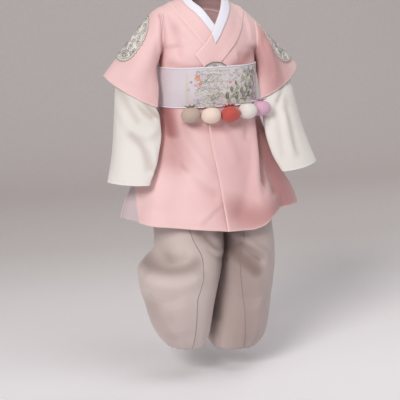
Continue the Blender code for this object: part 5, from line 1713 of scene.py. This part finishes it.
def ball_centre(x, drop, stand_off):
    z = BELT_BOTTOM + BELT_SLOPE * x - drop
    row = row_at(z)
    spot, normal = coat_frame(x, row)
    lift = lap_lift(x, row) if x > read(FRONT_EDGE, "left", row) else 0.0
    level = normal * [1, 1, 0]
    return spot + level / np.linalg.norm(level) * (lift + COAT_WALL + BALL_RADIUS + stand_off)


def round_grid(rows):
    return np.meshgrid(rows, np.linspace(0, 2 * np.pi, BALL_SPOKES, endpoint=False), indexing="ij")


def turned_out(reach, turn, height):
    return np.stack([reach * np.cos(turn), reach * np.sin(turn), height], axis=-1)


def ball_grid(gathers, depth, spin):
    polar, turn = round_grid(np.pi * (1 - np.linspace(0.999, 0, 46) ** 1.25))
    from_top = np.pi - polar
    pulled = np.cos(gathers * (turn + spin)) * 0.7 + np.cos((gathers + 3) * turn + spin) * 0.3
    seam = bell(np.sin(2 * (turn + spin)), 0.06) * np.sin(polar) ** 2
    reach = BALL_RADIUS * np.sin(polar) ** 0.86 * (1 + 1.6 * depth * bell(from_top, 0.85) * pulled)
    return turned_out(reach * (1 - 0.012 * seam), turn,
                      -BALL_HALF_HEIGHT * np.cos(polar) - 0.0042 * bell(from_top, 0.32))


def crown_grid(gathers, spin):
    """Inner, then outer side of the small crown of spare cloth, in one closed ring of rows."""
    t, turn = round_grid(np.concatenate([np.linspace(0, 1, 8), np.linspace(1, 0, 8)]))
    side = np.repeat((-0.5, 0.5), 8)[:, None]
    ripple = np.cos(gathers * (turn + spin)) + 0.35 * np.cos((2 * gathers - 1) * turn)
    reach = 0.0018 + 0.0094 * t ** 1.3 * (1 + 0.18 * ripple) + side * 0.0009
    height = BALL_HALF_HEIGHT - 0.0045 + 0.0072 * t ** 0.7 + 0.0014 * ripple * t - side * 0.0004
    return turned_out(reach, turn, height)


print("ball mm:", 2000 * BALL_RADIUS, "by", 2000 * BALL_HALF_HEIGHT)

# %% Five balls and their loops
ball_loops = []
for number, (x, drop, stand_off, colour, gathers, depth, crown, tilt, spin) in enumerate(BALLS, 1):
    x = x / 1000
    body, ruffle = ball_grid(gathers, depth, spin), crown_grid(gathers, spin)
    rows, base = len(body), len(body) * BALL_SPOKES
    faces = grid_faces(rows, BALL_SPOKES, True).tolist()
    body_faces = len(faces) + 2
    faces += [list(range(BALL_SPOKES))[::-1], list(range(base - BALL_SPOKES, base))]
    faces += (grid_faces(len(ruffle), BALL_SPOKES, True, ring=True) + base).tolist()
    sine, cosine = np.sin(np.radians(tilt)), np.cos(np.radians(tilt))
    middle = lean(ball_centre(x, drop / 1000, stand_off / 1000))
    turned = (np.vstack([body.reshape(-1, 3), ruffle.reshape(-1, 3)])
              @ np.array([[1, 0, 0], [0, cosine, -sine], [0, sine, cosine]]))
    round_uv = np.tile(np.linspace(0, 2 * np.pi * BALL_RADIUS, BALL_SPOKES, endpoint=False),
                       rows + len(ruffle))
    down_uv = np.concatenate([walked(body, 0).ravel(), walked(ruffle, 0).ravel()])
    made = new_piece("ball_%d_stuffed" % number, turned + middle, faces, FINISH[colour],
                     np.stack([round_uv, down_uv], axis=1))
    made.data.materials.append(FINISH[crown])
    for face in made.data.polygons[body_faces:]:
        face.material_index = 1
    face_outwards(made)
    place_piece(made, colour, "ball_%d" % number)
    top = middle + np.array((0.0, -sine, cosine)) * BALL_HALF_HEIGHT * 0.8
    spot, _ = around(np.degrees(angle_at_x(x, row_at(BELT_BOTTOM))),
                     BELT_BOTTOM + BELT_SLOPE * x + 0.004, 0.0040)
    spot = lean(spot)
    ball_loops.append(smooth_path([top, (top + spot) / 2 + (0, -0.0015, 0.001), spot], 9))
cord("ball_loops", ball_loops, "white", 0.0009, "belt_edge")

# %% [markdown]
# ## Trousers
# Each leg is a wide tube that closes on itself below the crotch. It breaks over the knee, bags
# out above the ankle and is gathered there, with its hem turned in. A seam runs down the front
# of each leg, between the outer and the inner panel.

# %% Waistband
angle, z = np.meshgrid(np.arange(0, 360, 2.5), np.linspace(-0.165, -0.215, 16))
sheet("waistband", *around(angle, z, -(TROUSER_WALL + SEAM + CHORD) + 0 * z), TROUSER_WALL,
      "trouser_taupe", "stretched", ["leg_right", "leg_left"], closed=True)

# %% The shape of a leg
LEG_TOP, LEG_FOOT = -0.2153, {"right": -0.757, "left": -0.774}
LEG_ROWS, LEG_SPANS, SEAM_SPANS, SEAM_SPAN, AXIS_ROWS, HEM_ROWS = 170, 150, 60, 20, 100, 6
ANKLE_GATHERS, GATHER_DEPTH, GATHER_REACH, HEM_TURN, HEM_LIFT = 17, 0.0006, 0.045, 0.10, 0.012
UNDER_COAT_NARROWS, AXIS_SHARE, SEAM_CORD_TOP = 0.09, 0.35, -0.465


def superellipse(angle):
    return [signed_power(value, 2 / LEG_SQUARENESS) for value in (np.cos(angle), np.sin(angle))]


def leg_points(side_name, z, share):
    """share runs from the front seam round the outside of the leg to the back seam."""
    outer, inner, front, back = [read(LEG[side_name], name, z)
                                 for name in ("outer", "inner", "front", "back")]
    middle, half_depth = (front + back) / 2, (back - front) / 2
    open_cos, open_sin = superellipse(np.pi * share)
    open_x, open_y = inner + (outer - inner) * open_sin, middle - half_depth * open_cos
    round_cos, round_sin = superellipse(2 * np.pi * (SLIT + (1 - 2 * SLIT) * share))
    round_x = (outer + inner) / 2 - (outer - inner) / 2 * round_cos
    round_y = middle - half_depth * round_sin
    fork = ease((FORK_TOP - z) / (FORK_TOP - CROTCH_Z))
    return np.stack([SIDES[side_name] * (open_x + (round_x - open_x) * fork),
                     open_y + (round_y - open_y) * fork, z], axis=-1)


def leg_normals(points, axis):
    """Normals of a leg that point away from its axis, where the leg has one."""
    normals = to_unit(np.cross(np.gradient(points, axis=0), np.gradient(points, axis=1)))
    rows = len(axis)
    return normals * np.sign(np.sum(normals[:rows] * (points[:rows] - axis)))


print("left leg's length m:", round(LEG_TOP - LEG_FOOT["left"], 3))

# %% Legs
for side_name, side in SIDES.items():
    foot = LEG_FOOT[side_name]
    z, share = np.meshgrid(np.linspace(LEG_TOP, foot, LEG_ROWS), np.linspace(0, 1, LEG_SPANS),
                           indexing="ij")
    points = leg_points(side_name, z, share)
    under_coat = UNDER_COAT_NARROWS * ease((-0.25 - z) / 0.05) * ease((z + 0.475) / 0.02)
    points = points * np.stack([1 - under_coat, 1 - under_coat, 1 + 0 * z], axis=-1)
    axis = np.stack([side * read(LEG[side_name], "outer", z) * AXIS_SHARE, 0 * z, z], axis=-1)
    normals = leg_normals(points, axis)
    at_seam = ease(np.minimum(share, 1 - share) / 0.02)
    gathers = (GATHER_DEPTH * np.cos(2 * np.pi * ANKLE_GATHERS * share)
               * bell(z - foot, GATHER_REACH) * at_seam)
    move = ((relief(points, normals, TROUSER_FOLDS) + relief(points, normals, SEAM_LINES, 0.05))
            * ease((-0.45 - z) / 0.04)
            + slack(points, "trousers") * ease((-0.47 - z) / 0.06)) * at_seam
    # painted shade: in the folds and gathers, and over the left leg, which the right leg shades
    # from the lamp
    shade = np.maximum(sunk(move + 2 * gathers, 0.010), shaded(points, normals, TROUSER_SHADES))
    points = moved(points, move + gathers, normals)
    turn_in = np.linspace(0, 1, HEM_ROWS + 1)[1:, None, None]
    centre = points[-1].mean(axis=0)
    hem = centre + (points[-1] - centre) * (1 - HEM_TURN * np.sin(turn_in * np.pi / 2))
    points = np.concatenate([points, hem + np.array((0, 0, HEM_LIFT)) * turn_in ** 2])
    normals = leg_normals(points, axis[:AXIS_ROWS])
    shade = np.vstack([shade, np.zeros((HEM_ROWS, LEG_SPANS))])
    outer, _ = sheet("leg_" + side_name, points, normals, TROUSER_WALL, "trouser_taupe", "hung",
                     ["waistband"], hollow=shade)
    path = smooth_path(SEAM_LINES[0 if side < 0 else 1][-1], SEAM_SPANS)
    seam = []
    for level in outer[:LEG_ROWS - 1:2, :SEAM_SPANS]:
        height = level[SEAM_SPAN, 2]
        seam_x = np.interp(-height, -path[:, 1], path[:, 0])
        spot = np.interp(side * seam_x, side * level[:, 0], np.arange(SEAM_SPANS))
        low = min(int(spot), SEAM_SPANS - 2)
        if height < SEAM_CORD_TOP:
            seam.append(level[low] + (level[low + 1] - level[low]) * (spot - low))
    cord("seam_cord_" + side_name, [np.array(seam) - (0, 0.0002, 0)], "trouser_taupe", 0.0007,
         "trouser_seam")
